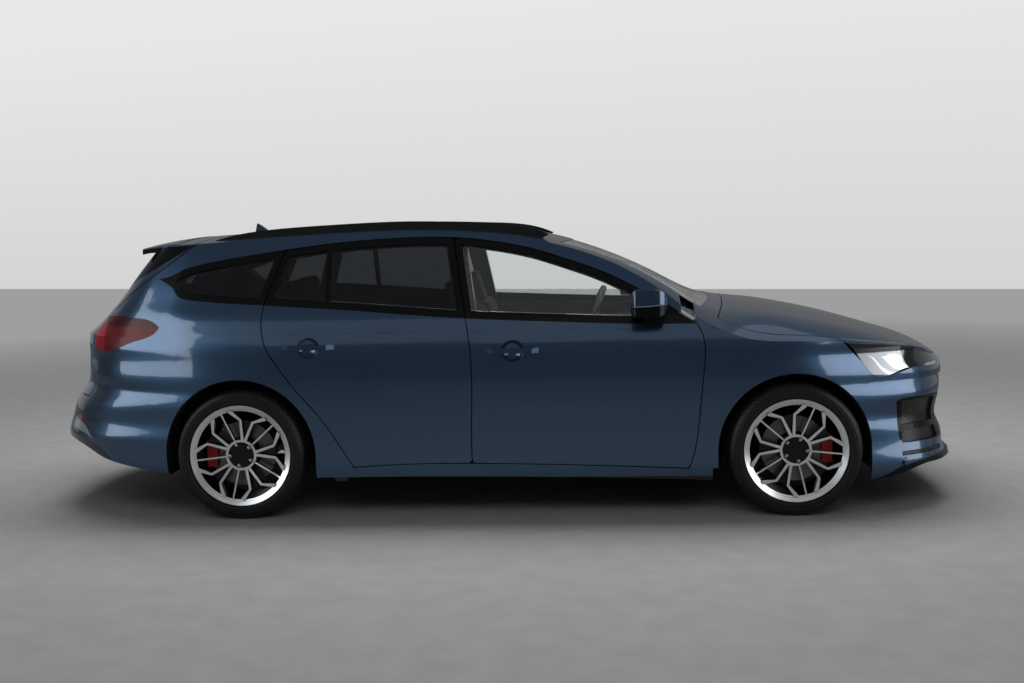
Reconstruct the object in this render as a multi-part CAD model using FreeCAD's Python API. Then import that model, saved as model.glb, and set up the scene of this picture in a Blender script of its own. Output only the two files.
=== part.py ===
import FreeCAD, Part
import math
import os

os.makedirs("parts", exist_ok=True)
V = FreeCAD.Vector

# A station wagon with right-hand drive.
# +X points forward, +Y to the car's left, +Z up, in millimetres.
# The origin is on the ground, midway along the overall length.

# Overall sizes
LENGTH = 4680.0
WHEELBASE = 2700.0
FRONT_OVERHANG = 884.0
BODY_HEIGHT = 1443.0
HALF_WIDTH = 912.5
UNDERSIDE_HEIGHT = 150.0
FRONT_TRACK = 1572.0
REAR_TRACK = 1556.0

REAR_OVERHANG = LENGTH - WHEELBASE - FRONT_OVERHANG
FRONT_AXLE_X = LENGTH / 2 - FRONT_OVERHANG
REAR_AXLE_X = FRONT_AXLE_X - WHEELBASE

# Clearances and sheet thicknesses
SHUT_GAP = 5.0
SEAT_GAP = 0.3
OVERRUN = 60.0
SKIN = 16.0
DOOR_DEPTH = 64.0
FRAME_DEPTH = 36.0
GLASS_RECESS = 4.0
GLASS_THICKNESS = 5.0
PILLAR_START = 70.0
PILLAR_DEPTH = 50.0

# Fineness of redrawn outline curves
CURVE_POINTS = 5
CURVE_STEP = 70.0
SHORTEST_EDGE = 1.0


def station(u):
    """X of a body station: -1 tail, 0 rear axle, 1 front axle, 2 nose."""
    if u < 0:
        return REAR_AXLE_X + u * REAR_OVERHANG
    if u > 1:
        return FRONT_AXLE_X + (u - 1) * FRONT_OVERHANG
    return REAR_AXLE_X + u * WHEELBASE


def height(h):
    """Z of a share of the body height."""
    return h * BODY_HEIGHT


def breadth(b):
    """Y of a share of half the body width."""
    return b * HALF_WIDTH


# Body form: side profile, tail and nose by height
# Columns: height share, half width share, tail station, nose station, tail and nose fullness.
lower_level_shares = [
    (0.104, 0.966, -0.870, 1.895, 2.9, 3.2),
    (0.144, 0.972, -0.914, 1.998, 2.9, 3.2),
    (0.201, 0.983, -0.975, 1.982, 2.9, 3.1),
    (0.250, 0.987, -1.000, 1.972, 2.9, 3.0),
    (0.298, 0.990, -0.988, 1.942, 2.9, 3.0),
    (0.349, 0.993, -0.965, 1.961, 2.9, 2.9),
    (0.395, 0.996, -0.932, 1.972, 3.0, 2.9),
    (0.430, 0.997, -0.894, 1.973, 3.0, 2.8),
    (0.462, 0.998, -0.868, 1.968, 3.1, 2.8),
    (0.513, 0.996, -0.858, 1.940, 3.2, 2.7),
    (0.554, 0.994, -0.856, 1.930, 3.2, 2.7),
    (0.596, 0.988, -0.855, 1.930, 3.3, 2.7),
]
shoulder_level_shares = [
    (0.596, 0.988, -0.855, 1.930, 3.3, 2.7),
    (0.628, 0.971, -0.846, 1.930, 3.4, 2.7),
]
upper_level_shares = [
    (0.628, 0.971, -0.846, 1.930, 3.4, 2.7),
    (0.663, 0.948, -0.777, 1.930, 3.8, 2.7),
    (0.692, 0.927, -0.730, 1.930, 4.2, 2.7),
    (0.722, 0.900, -0.687, 1.930, 4.6, 2.7),
    (0.776, 0.854, -0.622, 1.930, 5.2, 2.7),
    (0.836, 0.804, -0.560, 1.930, 5.8, 2.7),
    (0.894, 0.755, -0.500, 1.930, 6.2, 2.7),
    (0.956, 0.697, -0.440, 1.930, 6.4, 2.7),
    (1.020, 0.634, -0.380, 1.930, 6.4, 2.7),
]
TAIL_SHOULDER_STATION = 0.080
NOSE_SHOULDER_STATION = 0.870
quarter_turn_shares = [0.0, 0.12, 0.24, 0.36, 0.47, 0.58, 0.69, 0.80, 0.90]
side_station_shares = [0.08, 0.25, 0.42, 0.60, 0.75, 0.87]

# Top surface: station, centre height, crown drop and edge fall as shares of the body height
top_station_shares = [
    (-1.10, 0.790, 0.023, 0.080),
    (-0.80, 0.868, 0.023, 0.080),
    (-0.56, 0.932, 0.023, 0.080),
    (-0.33, 0.962, 0.023, 0.080),
    (-0.09, 0.973, 0.023, 0.080),
    (0.052, 0.982, 0.023, 0.080),
    (0.170, 0.992, 0.023, 0.080),
    (0.300, 0.997, 0.023, 0.080),
    (0.425, 0.989, 0.023, 0.080),
    (0.500, 0.974, 0.022, 0.075),
    (0.558, 0.953, 0.020, 0.065),
    (0.610, 0.927, 0.017, 0.058),
    (0.697, 0.868, 0.014, 0.056),
    (0.776, 0.798, 0.018, 0.050),
    (0.850, 0.730, 0.030, 0.026),
    (0.885, 0.713, 0.034, 0.026),
    (0.920, 0.7045, 0.032, 0.040),
    (0.975, 0.693, 0.029, 0.046),
    (1.060, 0.678, 0.027, 0.040),
    (1.240, 0.655, 0.025, 0.039),
    (1.425, 0.625, 0.023, 0.039),
    (1.638, 0.586, 0.022, 0.041),
    (1.760, 0.562, 0.026, 0.041),
    (1.847, 0.537, 0.032, 0.041),
    (1.926, 0.498, 0.036, 0.041),
    (2.000, 0.440, 0.040, 0.041),
    (2.060, 0.380, 0.044, 0.041),
]
CROWN_BREADTH = 0.66
top_breadth_shares = [0.0, 0.2, 0.4, 0.6, 0.72, 0.82, 0.91, 1.0, 1.12]


def plan_contour(level, inset):
    """Closed smooth outline of the body at one height, pulled in by the inset."""
    h_share, b_share, tail, nose, tail_power, nose_power = level
    z = height(h_share)
    half = breadth(b_share) - inset
    tail_root = station(TAIL_SHOULDER_STATION)
    nose_root = station(NOSE_SHOULDER_STATION)
    tail_reach = tail_root - station(tail) - inset
    nose_reach = station(nose) - inset - nose_root
    right = []
    for turn in quarter_turn_shares:
        angle = turn * math.pi / 2
        x = tail_root - tail_reach * math.cos(angle) ** (2 / tail_power)
        y = -half * math.sin(angle) ** (2 / tail_power)
        right.append((x, y))
    for share in side_station_shares:
        right.append((station(share), -half))
    for turn in reversed(quarter_turn_shares):
        angle = turn * math.pi / 2
        x = nose_root + nose_reach * math.cos(angle) ** (2 / nose_power)
        y = -half * math.sin(angle) ** (2 / nose_power)
        right.append((x, y))
    left = [(x, -y) for x, y in reversed(right[1:-1])]
    ring = [V(x, y, z) for x, y in right + left]
    count = len(ring)
    curve = Part.BSplineCurve()
    curve.interpolate(Points=ring, PeriodicFlag=True, Parameters=[i / count for i in range(count + 1)])
    return Part.Wire(curve.toShape())


def top_prism():
    """Everything below the roof, windscreen and bonnet surface."""
    rows = []
    for u, centre, crown, fall in top_station_shares:
        row = []
        ys = [-b for b in reversed(top_breadth_shares[1:])] + top_breadth_shares
        for b in ys:
            over = max(0.0, (abs(b) - CROWN_BREADTH) / (1 - CROWN_BREADTH))
            h = centre - crown * (b / CROWN_BREADTH) ** 2 - fall * over ** 2
            row.append(V(station(u), breadth(b), height(h)))
        rows.append(row)
    surface = Part.BSplineSurface()
    surface.interpolate(rows)
    return surface.toShape().extrude(V(0, 0, -BODY_HEIGHT - OVERRUN))


TOP_PRISM = top_prism()


def body_form(inset):
    """Solid of the whole body shape, every outer face moved in by the inset."""
    stack = None
    for levels in (lower_level_shares, shoulder_level_shares, upper_level_shares):
        wires = [plan_contour(level, inset) for level in levels]
        tier = Part.makeLoft(wires, True, len(levels) == 2)
        stack = tier if stack is None else stack.fuse(tier)
    roof = TOP_PRISM.translated(V(0, 0, -inset))
    return stack.common(roof)


def side_face(*runs):
    """Face in the side view; a run of two points is straight, a longer one is a smooth curve."""
    edges = []
    for run in runs:
        points = [V(station(u), 0, height(h)) for u, h in run]
        if len(points) == 2:
            edges.append(Part.makeLine(points[0], points[1]))
        else:
            curve = Part.BSplineCurve()
            curve.interpolate(points)
            edges.append(curve.toShape())
    return Part.Face(Part.Wire(edges))


def plan_face(*runs):
    """Face in the plan view, from runs of station and breadth shares."""
    edges = []
    for run in runs:
        points = [V(station(u), breadth(b), 0) for u, b in run]
        if len(points) == 2:
            edges.append(Part.makeLine(points[0], points[1]))
        else:
            curve = Part.BSplineCurve()
            curve.interpolate(points)
            edges.append(curve.toShape())
    return Part.Face(Part.Wire(edges))


def grown(face, distance):
    """The face with its outline moved outwards, or inwards when negative."""
    return face.makeOffset2D(distance).Faces[0]


def rounded(face, shrink, radius):
    """The face pulled in by a distance, with its corners rounded."""
    return grown(grown(face, -shrink - radius), radius)


def redrawn(face):
    """The same face, its offset curves drawn again as plain lines and splines."""
    runs = []
    for edge in face.OuterWire.OrderedEdges:
        if edge.Length > SHORTEST_EDGE:
            count = 2 if isinstance(edge.Curve, Part.Line) else CURVE_POINTS + int(edge.Length / CURVE_STEP)
            runs.append(edge.discretize(count))
    ends = runs[1][0], runs[1][-1]
    if min((runs[0][0] - end).Length for end in ends) < min((runs[0][-1] - end).Length for end in ends):
        runs[0].reverse()
    for before, after in zip(runs, runs[1:]):
        if (after[-1] - before[-1]).Length < (after[0] - before[-1]).Length:
            after.reverse()
        after[0] = before[-1]
    runs[-1][-1] = runs[0][0]
    curves = []
    for points in runs:
        if len(points) == 2:
            curves.append(Part.makeLine(points[0], points[1]))
        else:
            curve = Part.BSplineCurve()
            curve.interpolate(points)
            curves.append(curve.toShape())
    return Part.Face(Part.Wire(curves))


def right_prism(face):
    """Right-hand half of the space seen through a side-view face."""
    return redrawn(face).extrude(V(0, -HALF_WIDTH - OVERRUN, 0))


def plan_prism(face):
    """Space above and below a plan-view face."""
    return redrawn(face).translated(V(0, 0, -OVERRUN)).extrude(V(0, 0, BODY_HEIGHT + 2 * OVERRUN))


def mirrored(shape):
    return shape.mirror(V(0, 0, 0), V(0, 1, 0))


def block(x0, x1, y0, y1, z0, z1):
    """Rectangular block between six coordinates."""
    return Part.makeBox(x1 - x0, y1 - y0, z1 - z0, V(x0, y0, z0))


def across(radius, y0, y1, x, z):
    """Cylinder lying along Y."""
    return Part.makeCylinder(radius, y1 - y0, V(x, y0, z), V(0, 1, 0))


def largest(shape):
    """The biggest solid of a shape, without the slivers that cuts leave."""
    return max(shape.Solids, key=lambda solid: solid.Volume)


def tube(points, radius):
    """Round bar through a few points, straight between them, with mitred corners."""
    path = Part.makePolygon(points)
    ring = Part.Wire(Part.makeCircle(radius, points[0], points[1] - points[0]))
    return path.makePipeShell([ring], True, True, 1)


def save(name, *shapes):
    """Write one sub-part, leaving out slivers that the cuts made."""
    solids = [solid for shape in shapes for solid in shape.Solids if solid.Volume > SLIVER]
    kept = solids[0] if len(solids) == 1 else Part.Compound(solids)
    kept.exportStep("parts/" + name + ".step")


SLIVER = GLASS_THICKNESS ** 3

# Forms at the depths that the panels need
FORM = body_form(0.0)
UNDER_SKIN = body_form(SKIN)
GLASS_FACE = body_form(GLASS_RECESS)
UNDER_GLASS = body_form(GLASS_RECESS + GLASS_THICKNESS)
UNDER_FRAME = body_form(FRAME_DEPTH)
UNDER_DOOR = body_form(DOOR_DEPTH)
PILLAR_FACE = body_form(PILLAR_START)
CABIN_VOID = body_form(PILLAR_START + PILLAR_DEPTH)

# Side-view outlines, as station and height shares
pillar_gap_shares = [
    (0.390, 0.946), (0.402, 0.818), (0.415, 0.677), (0.4215, 0.605), (0.425, 0.538), (0.424, 0.348),
    (0.424, 0.189),
]
front_door_top_shares = [
    (0.390, 0.946), (0.475, 0.927), (0.547, 0.897), (0.601, 0.864), (0.655, 0.828), (0.724, 0.766),
    (0.779, 0.707), (0.826, 0.651),
]
front_door_front_shares = [
    (0.826, 0.651), (0.836, 0.615), (0.840, 0.579), (0.839, 0.512), (0.831, 0.362), (0.822, 0.231),
    (0.811, 0.165),
]
front_door_foot_shares = [(0.811, 0.165), (0.651, 0.178), (0.424, 0.189)]
rear_door_top_shares = [(0.077, 0.913), (0.179, 0.935), (0.306, 0.948), (0.390, 0.946)]
rear_door_rear_shares = [
    (0.077, 0.913), (0.063, 0.827), (0.047, 0.729), (0.045, 0.658), (0.048, 0.626), (0.057, 0.580),
    (0.074, 0.529), (0.107, 0.445), (0.143, 0.366), (0.174, 0.283), (0.208, 0.178),
]
rear_door_foot_shares = [(0.208, 0.178), (0.254, 0.184), (0.327, 0.189), (0.424, 0.189)]
window_top_shares = [
    (-0.335, 0.830), (-0.260, 0.855), (-0.134, 0.877), (0.013, 0.897), (0.075, 0.913), (0.179, 0.935),
    (0.306, 0.948), (0.390, 0.946), (0.475, 0.927), (0.547, 0.897), (0.601, 0.864), (0.655, 0.828),
    (0.724, 0.766), (0.779, 0.707), (0.826, 0.651),
]
window_foot_shares = [
    (0.826, 0.651), (0.721, 0.653), (0.583, 0.663), (0.410, 0.679), (0.295, 0.696), (0.186, 0.713),
    (0.047, 0.731), (-0.132, 0.744), (-0.259, 0.755),
]
window_tail_shares = [(-0.259, 0.755), (-0.317, 0.796), (-0.335, 0.830)]
tailgate_edge_shares = [(-0.120, 1.060), (-0.213, 0.961), (-0.240, 0.936), (-0.340, 0.875), (-0.530, 0.776),
                        (-0.620, 0.718)]
bonnet_side_shares = [(0.868, -0.835), (0.893, -0.880), (0.937, -0.922), (1.128, -0.915), (1.256, -0.898),
                      (1.450, -0.838), (1.588, -0.767), (1.720, -0.665), (1.840, -0.520)]
bonnet_nose_shares = [(1.840, -0.520), (1.890, -0.300), (1.912, 0.0), (1.890, 0.300), (1.840, 0.520)]
bonnet_rear_shares = [(0.868, -0.835), (0.892, -0.400), (0.900, 0.0), (0.892, 0.400), (0.868, 0.835)]
windscreen_top_shares = [(0.585, -0.632), (0.600, -0.350), (0.609, 0.0), (0.600, 0.350), (0.585, 0.632)]
windscreen_foot_shares = [(0.838, -0.770), (0.864, -0.400), (0.874, 0.0), (0.864, 0.400), (0.838, 0.770)]
headlamp_top_shares = [(1.256, 0.580), (1.396, 0.568), (1.561, 0.562), (1.687, 0.552), (1.765, 0.528),
                       (1.860, 0.515)]
headlamp_foot_shares = [(1.860, 0.472), (1.739, 0.480), (1.588, 0.474), (1.520, 0.460), (1.454, 0.457),
                        (1.363, 0.510), (1.256, 0.580)]
tail_lamp_top_shares = [(-0.359, 0.660), (-0.408, 0.684), (-0.492, 0.692), (-0.628, 0.695), (-0.720, 0.664)]
tail_lamp_foot_shares = [(-0.720, 0.582), (-0.599, 0.581), (-0.484, 0.612), (-0.376, 0.644), (-0.359, 0.660)]
rear_bumper_edge_shares = [(-0.700, 0.581), (-0.599, 0.581), (-0.563, 0.514), (-0.510, 0.453),
                           (-0.430, 0.408),
                           (-0.330, 0.378), (-0.200, 0.350)]
front_bumper_edge_shares = [(1.309, 0.403), (1.347, 0.419), (1.396, 0.435), (1.454, 0.457)]
front_bumper_foot_shares = [(1.309, 0.112), (1.462, 0.113), (1.550, 0.119), (1.637, 0.132), (1.747, 0.150),
                            (1.850, 0.154), (2.100, 0.154)]
rear_bumper_foot_shares = [(-0.200, 0.150), (-0.376, 0.160), (-0.553, 0.180), (-0.693, 0.205),
                           (-0.780, 0.235),
                           (-0.870, 0.252), (-1.100, 0.256)]
sill_foot_shares = [(-0.200, 0.137), (0.430, 0.143), (0.853, 0.124)]

FRONT_DOOR = side_face(pillar_gap_shares, front_door_foot_shares[::-1], front_door_front_shares[::-1],
                       front_door_top_shares[::-1])
REAR_DOOR = side_face(pillar_gap_shares, rear_door_foot_shares[::-1], rear_door_rear_shares[::-1],
                      rear_door_top_shares)
DOORWAY = side_face(front_door_foot_shares + rear_door_foot_shares[-2::-1], rear_door_rear_shares[::-1],
                    rear_door_top_shares + front_door_top_shares[1:], front_door_front_shares)
WINDOW_BAND = side_face(window_top_shares, window_foot_shares, window_tail_shares)
HEADLAMP = side_face(headlamp_top_shares, [(1.860, 0.515), (1.860, 0.472)], headlamp_foot_shares)
TAIL_LAMP = side_face(tail_lamp_top_shares, [(-0.720, 0.664), (-0.720, 0.582)], tail_lamp_foot_shares)

# Doors and side windows
WINDOW_SURROUND = 34.0
DOOR_CORNER = 22.0
SEAL_INSET = 14.0
FLANGE = 50.0
MIRROR_STATION_SHARE = 0.745
DIVIDER_STATION_SHARE = 0.163
DIVIDER_WIDTH = 26.0
BELT_HEIGHT_SHARE = 0.640

belt_cut = block(-LENGTH, LENGTH, -HALF_WIDTH - OVERRUN, 0, height(BELT_HEIGHT_SHARE), BODY_HEIGHT + OVERRUN)
GLAZED_BAND = grown(WINDOW_BAND, -WINDOW_SURROUND)


HINGE_HEIGHT_SHARES = (0.290, 0.520)
HINGE_LEAF_HEIGHT = 70.0
HINGE_LEAF_LENGTH = 45.0
HINGE_SHELL = UNDER_DOOR.cut(body_form(PILLAR_START - SEAT_GAP))


def hinge_leaves(face):
    """Two hinge plates on a door's inner front edge, which reach to the pillar."""
    leaves = []
    for share in HINGE_HEIGHT_SHARES:
        z = height(share)
        level = Part.makeLine(V(-LENGTH, 0, z), V(LENGTH, 0, z))
        edge_x = grown(face, -SEAL_INSET).common(level).BoundBox.XMax
        leaves += HINGE_SHELL.common(block(edge_x - HINGE_LEAF_LENGTH - DOOR_CORNER, edge_x - DOOR_CORNER,
                                           -LENGTH, 0,
                                     z - HINGE_LEAF_HEIGHT / 2, z + HINGE_LEAF_HEIGHT / 2)).Solids
    return leaves


def door_solid(face):
    """Right-hand door with no window cut yet: a skin and a thinner, smaller inner frame."""
    skin = FORM.common(right_prism(rounded(face, SHUT_GAP / 2, DOOR_CORNER))).cut(UNDER_SKIN)
    inner_prism = right_prism(rounded(face, SEAL_INSET, DOOR_CORNER))
    inner = UNDER_SKIN.common(inner_prism).cut(UNDER_DOOR)
    too_deep = belt_cut.common(inner_prism).common(UNDER_FRAME)
    return skin.fuse([inner.cut(too_deep)] + hinge_leaves(face))


def clipped(face, x0, x1):
    """The part of a side-view face between two stations' X values."""
    tall = BODY_HEIGHT + OVERRUN
    window = Part.Face(Part.makePolygon([V(x0, 0, 0), V(x1, 0, 0), V(x1, 0, tall), V(x0, 0, tall),
                                         V(x0, 0, 0)]))
    return face.common(window).Faces[0]


front_opening = GLAZED_BAND.common(grown(FRONT_DOOR, -WINDOW_SURROUND)).Faces[0]
front_opening = clipped(front_opening, station(0), station(MIRROR_STATION_SHARE))
rear_opening = GLAZED_BAND.common(grown(REAR_DOOR, -WINDOW_SURROUND)).Faces[0]
divider_x = station(DIVIDER_STATION_SHARE)
rear_opening_back = clipped(rear_opening, station(0), divider_x - DIVIDER_WIDTH / 2)
rear_opening_front = clipped(rear_opening, divider_x + DIVIDER_WIDTH / 2, station(1))
quarter_opening = GLAZED_BAND.cut(grown(REAR_DOOR, WINDOW_SURROUND)).Faces[0]


HANDLE_LENGTH = 255.0
HANDLE_HEIGHT = 24.0
HANDLE_REACH = 30.0
HANDLE_GRIP = 12.0
HANDLE_FOOT = 34.0
CUP_RADIUS = 62.0
CUP_OFFSET = 30.0
FRONT_HANDLE = (106.0, 822.0)
REAR_HANDLE = (-886.0, 852.0)


def with_handle(door, place):
    """The door with a hollowed cup in its skin and a pull handle that bridges it."""
    x, z = place
    skin_y = -HALF_WIDTH + SKIN / 2
    door = door.cut(Part.makeSphere(CUP_RADIUS, V(x, skin_y - CUP_OFFSET, z)))
    half = HANDLE_LENGTH / 2
    reach = skin_y - HANDLE_REACH
    inner_half = half - HANDLE_FOOT
    outline = [V(x - half, skin_y + SKIN, 0), V(x - half, skin_y, 0), V(x - inner_half, reach, 0),
               V(x + inner_half, reach, 0), V(x + half, skin_y, 0), V(x + half, skin_y + SKIN, 0),
               V(x + inner_half, skin_y + SKIN, 0), V(x + inner_half - HANDLE_GRIP, reach + HANDLE_GRIP, 0),
               V(x - inner_half + HANDLE_GRIP, reach + HANDLE_GRIP, 0), V(x - inner_half, skin_y + SKIN, 0)]
    bar = Part.Face(Part.makePolygon(outline + outline[:1])).extrude(V(0, 0, HANDLE_HEIGHT))
    return door.fuse(bar.translated(V(0, 0, z - HANDLE_HEIGHT / 2)))


def pane(opening):
    """Glass that fills a window opening, flush but for a small recess."""
    return GLASS_FACE.common(right_prism(grown(opening, -SEAT_GAP))).cut(UNDER_GLASS)


front_door = door_solid(FRONT_DOOR).cut(right_prism(front_opening))
rear_door = door_solid(REAR_DOOR).cut(right_prism(rear_opening_back)).cut(right_prism(rear_opening_front))
front_door = with_handle(front_door, FRONT_HANDLE)
rear_door = with_handle(rear_door, REAR_HANDLE)
front_pane = pane(front_opening)
rear_panes = [pane(rear_opening_back), pane(rear_opening_front)]
quarter_pane = pane(quarter_opening)

# Wheels
RIM_RADIUS = 248.5
RIM_WIDTH = 231.0
RIM_WALL = 7.0
TYRE_RADIUS = 320.0
TYRE_WIDTH = 236.0
TYRE_SHOULDER = 26.0
TYRE_WALL = 11.0
BEAD_SEAT_RADIUS = 228.0
HUB_RADIUS = 76.0
HUB_DEPTH = 46.0
HUB_DISH = 14.0
PETAL_COUNT = 5
PETAL_PITCH = 360.0 / PETAL_COUNT
FRONT_PETAL_ANGLE = 67.0
REAR_PETAL_ANGLE = 42.0
KINK_SHARE = 0.70
ROOT_ANGLE = 5.0
KINK_ANGLE = 10.0
RIM_END_ANGLE = 24.0
SPOKE_WIDTHS = (14.0, 12.0, 20.0)
SPOKE_DEPTH = 34.0
CENTRE_SPOKE_WIDTH = 8.0
CENTRE_SPOKE_DROP = 7.0
WEB_DROP = 18.0
BOLT_CIRCLE_RADIUS = 54.0
BOLT_POCKET_RADIUS = 13.0
BOLT_POCKET_DEPTH = 12.0
BRAKE_DISC_RADIUS = 160.0
BRAKE_DISC_THICKNESS = 26.0
STUB_RADIUS = 30.0
BEARING_CLEARANCE = 0.08
RIM_FACE_INSET = 6.0
FRONT_WHEEL_Y = -FRONT_TRACK / 2
REAR_WHEEL_Y = -REAR_TRACK / 2
DISC_OFFSET = 34.0
STUB_LENGTH = 46.0


def revolved(points, centre):
    """Solid of revolution about a wheel axis, from radius and outboard-offset pairs."""
    ring = [V(0, -out, radius) for radius, out in points]
    face = Part.Face(Part.makePolygon(ring + ring[:1]))
    return face.revolve(V(0, 0, 0), V(0, 1, 0), 360).translated(centre)


def polar(radius, degrees):
    """Point in a wheel's own plane, at an angle above forwards."""
    turn = math.radians(degrees)
    return V(radius * math.cos(turn), 0, radius * math.sin(turn))


def band(points, widths):
    """Flat band along a broken line in a wheel's plane, with its width at each point."""
    above, below = [], []
    for i, point in enumerate(points):
        along = points[min(i + 1, len(points) - 1)] - points[max(i - 1, 0)]
        aside = V(-along.z, 0, along.x) * (widths[i] / along.Length / 2)
        above.append(point + aside)
        below.append(point - aside)
    outline = above + below[::-1]
    return Part.Face(Part.makePolygon(outline + outline[:1]))


def dished(drop):
    """Space of the spokes: a shallow dish, its front lowered by a distance."""
    face = RIM_WIDTH / 2 - RIM_FACE_INSET
    outer = BEAD_SEAT_RADIUS - RIM_WALL / 2
    kink = KINK_SHARE * RIM_RADIUS
    return revolved([(0, face - HUB_DISH - drop), (HUB_RADIUS, face - HUB_DISH - drop),
                     (kink, face - RIM_WALL / 2 - drop),
                     (outer, face - drop), (outer, face - SPOKE_DEPTH), (kink, face - SPOKE_DEPTH),
                     (HUB_RADIUS, face - HUB_DEPTH), (0, face - HUB_DEPTH)], V(0, 0, 0))


def spokes(petal_angle):
    """Five petals: kinked spoke pairs that part towards the rim, with webs and thin centre spokes."""
    outer = BEAD_SEAT_RADIUS - RIM_WALL / 2
    root = HUB_RADIUS - RIM_WALL
    kink = KINK_SHARE * RIM_RADIUS
    pairs, webs, centres = [], [], []
    for i in range(PETAL_COUNT):
        petal = petal_angle + i * PETAL_PITCH
        pair = petal + PETAL_PITCH / 2
        for side in (-1, 1):
            pairs.append(band([polar(root, pair + side * ROOT_ANGLE), polar(kink, pair + side * KINK_ANGLE),
                               polar(outer, pair + side * RIM_END_ANGLE)], SPOKE_WIDTHS))
        webs.append(band([polar(root, pair), polar(kink, pair)],
                         (BOLT_POCKET_RADIUS, 2 * SPOKE_WIDTHS[0] + HUB_DISH)))
        centres.append(band([polar(root, petal), polar(outer, petal)],
                            (CENTRE_SPOKE_WIDTH, CENTRE_SPOKE_WIDTH)))
    solids = []
    for faces, drop in ((pairs, 0), (webs, WEB_DROP), (centres, CENTRE_SPOKE_DROP)):
        space = dished(drop)
        for face in faces:
            solids.append(face.translated(V(0, -RIM_WIDTH, 0)).extrude(V(0, 2 * RIM_WIDTH, 0)).common(space))
    return solids


def rim_solid(centre, petal_angle):
    """Right-hand wheel: barrel, spokes, hub, brake disc and stub axle in one."""
    half = RIM_WIDTH / 2
    well = BEAD_SEAT_RADIUS - RIM_WALL
    barrel = revolved([
        (RIM_RADIUS, half), (RIM_RADIUS, half - RIM_WALL), (BEAD_SEAT_RADIUS, half - 2 * RIM_WALL),
        (BEAD_SEAT_RADIUS, RIM_WALL - half), (RIM_RADIUS, -half + RIM_WALL / 2), (RIM_RADIUS, -half),
        (well, -half), (well, half - 2 * RIM_WALL),
    ], V(0, 0, 0))
    face_out = half - RIM_FACE_INSET
    hub_face = face_out - HUB_DISH
    hub = revolved([(0, hub_face), (HUB_RADIUS, hub_face), (HUB_RADIUS, face_out - HUB_DEPTH),
                    (0, face_out - HUB_DEPTH)], V(0, 0, 0))
    solid = barrel.fuse(spokes(petal_angle) + [hub])
    for i in range(PETAL_COUNT):
        place = polar(BOLT_CIRCLE_RADIUS, petal_angle + i * PETAL_PITCH)
        solid = solid.cut(across(BOLT_POCKET_RADIUS, -half, BOLT_POCKET_DEPTH - hub_face, place.x, place.z))
    bell_inner = DISC_OFFSET - BRAKE_DISC_THICKNESS
    disc = revolved([(0, face_out - HUB_DEPTH), (HUB_RADIUS, face_out - HUB_DEPTH),
                     (HUB_RADIUS, DISC_OFFSET),
                     (BRAKE_DISC_RADIUS, DISC_OFFSET), (BRAKE_DISC_RADIUS, bell_inner),
                     (STUB_RADIUS, bell_inner),
                     (STUB_RADIUS, bell_inner - STUB_LENGTH), (0, bell_inner - STUB_LENGTH)], V(0, 0, 0))
    return solid.fuse(disc).translated(centre)


def tyre_solid(centre):
    half = TYRE_WIDTH / 2
    flange = RIM_WIDTH / 2 - RIM_WALL - SEAT_GAP
    seat = flange - RIM_WALL
    flat = half - TYRE_SHOULDER
    crown = TYRE_RADIUS - TYRE_SHOULDER / 3
    profile = [(TYRE_RADIUS, flat), (crown, half - TYRE_SHOULDER / 3), (crown - TYRE_SHOULDER, half),
               (RIM_RADIUS + TYRE_WALL, half - TYRE_WALL / 3), (RIM_RADIUS + SEAT_GAP, flange),
               (BEAD_SEAT_RADIUS + SEAT_GAP, seat), (BEAD_SEAT_RADIUS + SEAT_GAP, seat - 2 * TYRE_WALL),
               (TYRE_RADIUS - TYRE_WALL, flat - TYRE_WALL)]
    ring = profile + [(radius, -out) for radius, out in reversed(profile)]
    return revolved(ring, centre)


front_wheel_centre = V(FRONT_AXLE_X, FRONT_WHEEL_Y, TYRE_RADIUS)
rear_wheel_centre = V(REAR_AXLE_X, REAR_WHEEL_Y, TYRE_RADIUS)
front_rim = rim_solid(front_wheel_centre, FRONT_PETAL_ANGLE)
front_tyre = tyre_solid(front_wheel_centre)
rear_rim = rim_solid(rear_wheel_centre, REAR_PETAL_ANGLE)
rear_tyre = tyre_solid(rear_wheel_centre)

# Wheel arches and their liners
FRONT_ARCH_RADIUS = 372.0
REAR_ARCH_RADIUS = 376.0
LINER_THICKNESS = 4.0
LINER_FOOT_SHARE = 0.150
ARM_OPENING_HALF = 170.0
ARM_OPENING_TOP = 430.0
FRONT_WELL_Y = -470.0
REAR_WELL_Y = -600.0


def arch_space(axle_x, radius, well_y):
    """Space of a right-hand wheelhouse, open outwards and downwards."""
    round_part = across(radius, -HALF_WIDTH - OVERRUN, well_y, axle_x, TYRE_RADIUS)
    foot = block(axle_x - radius, axle_x + radius, -HALF_WIDTH - OVERRUN, well_y, -OVERRUN, TYRE_RADIUS)
    return round_part.fuse(foot)


front_arch = arch_space(FRONT_AXLE_X, FRONT_ARCH_RADIUS, FRONT_WELL_Y)
rear_arch = arch_space(REAR_AXLE_X, REAR_ARCH_RADIUS, REAR_WELL_Y)


def liner(axle_x, radius, well_y):
    """Moulded liner of a right-hand wheelhouse, as a half drum with its inner wall."""
    outer = arch_space(axle_x, radius - SEAT_GAP, well_y - SEAT_GAP)
    inner = arch_space(axle_x, radius - SEAT_GAP - LINER_THICKNESS, well_y - SEAT_GAP - LINER_THICKNESS)
    above_sill = block(-LENGTH, LENGTH, -HALF_WIDTH, 0, height(LINER_FOOT_SHARE), BODY_HEIGHT)
    arm_opening = block(axle_x - ARM_OPENING_HALF, axle_x + ARM_OPENING_HALF, well_y - OVERRUN,
                        well_y + OVERRUN,
                        0, ARM_OPENING_TOP)
    return outer.cut(inner).common(above_sill).common(UNDER_SKIN).cut(arm_opening)


front_liner = liner(FRONT_AXLE_X, FRONT_ARCH_RADIUS, FRONT_WELL_Y)
rear_liner = liner(REAR_AXLE_X, REAR_ARCH_RADIUS, REAR_WELL_Y)

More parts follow.
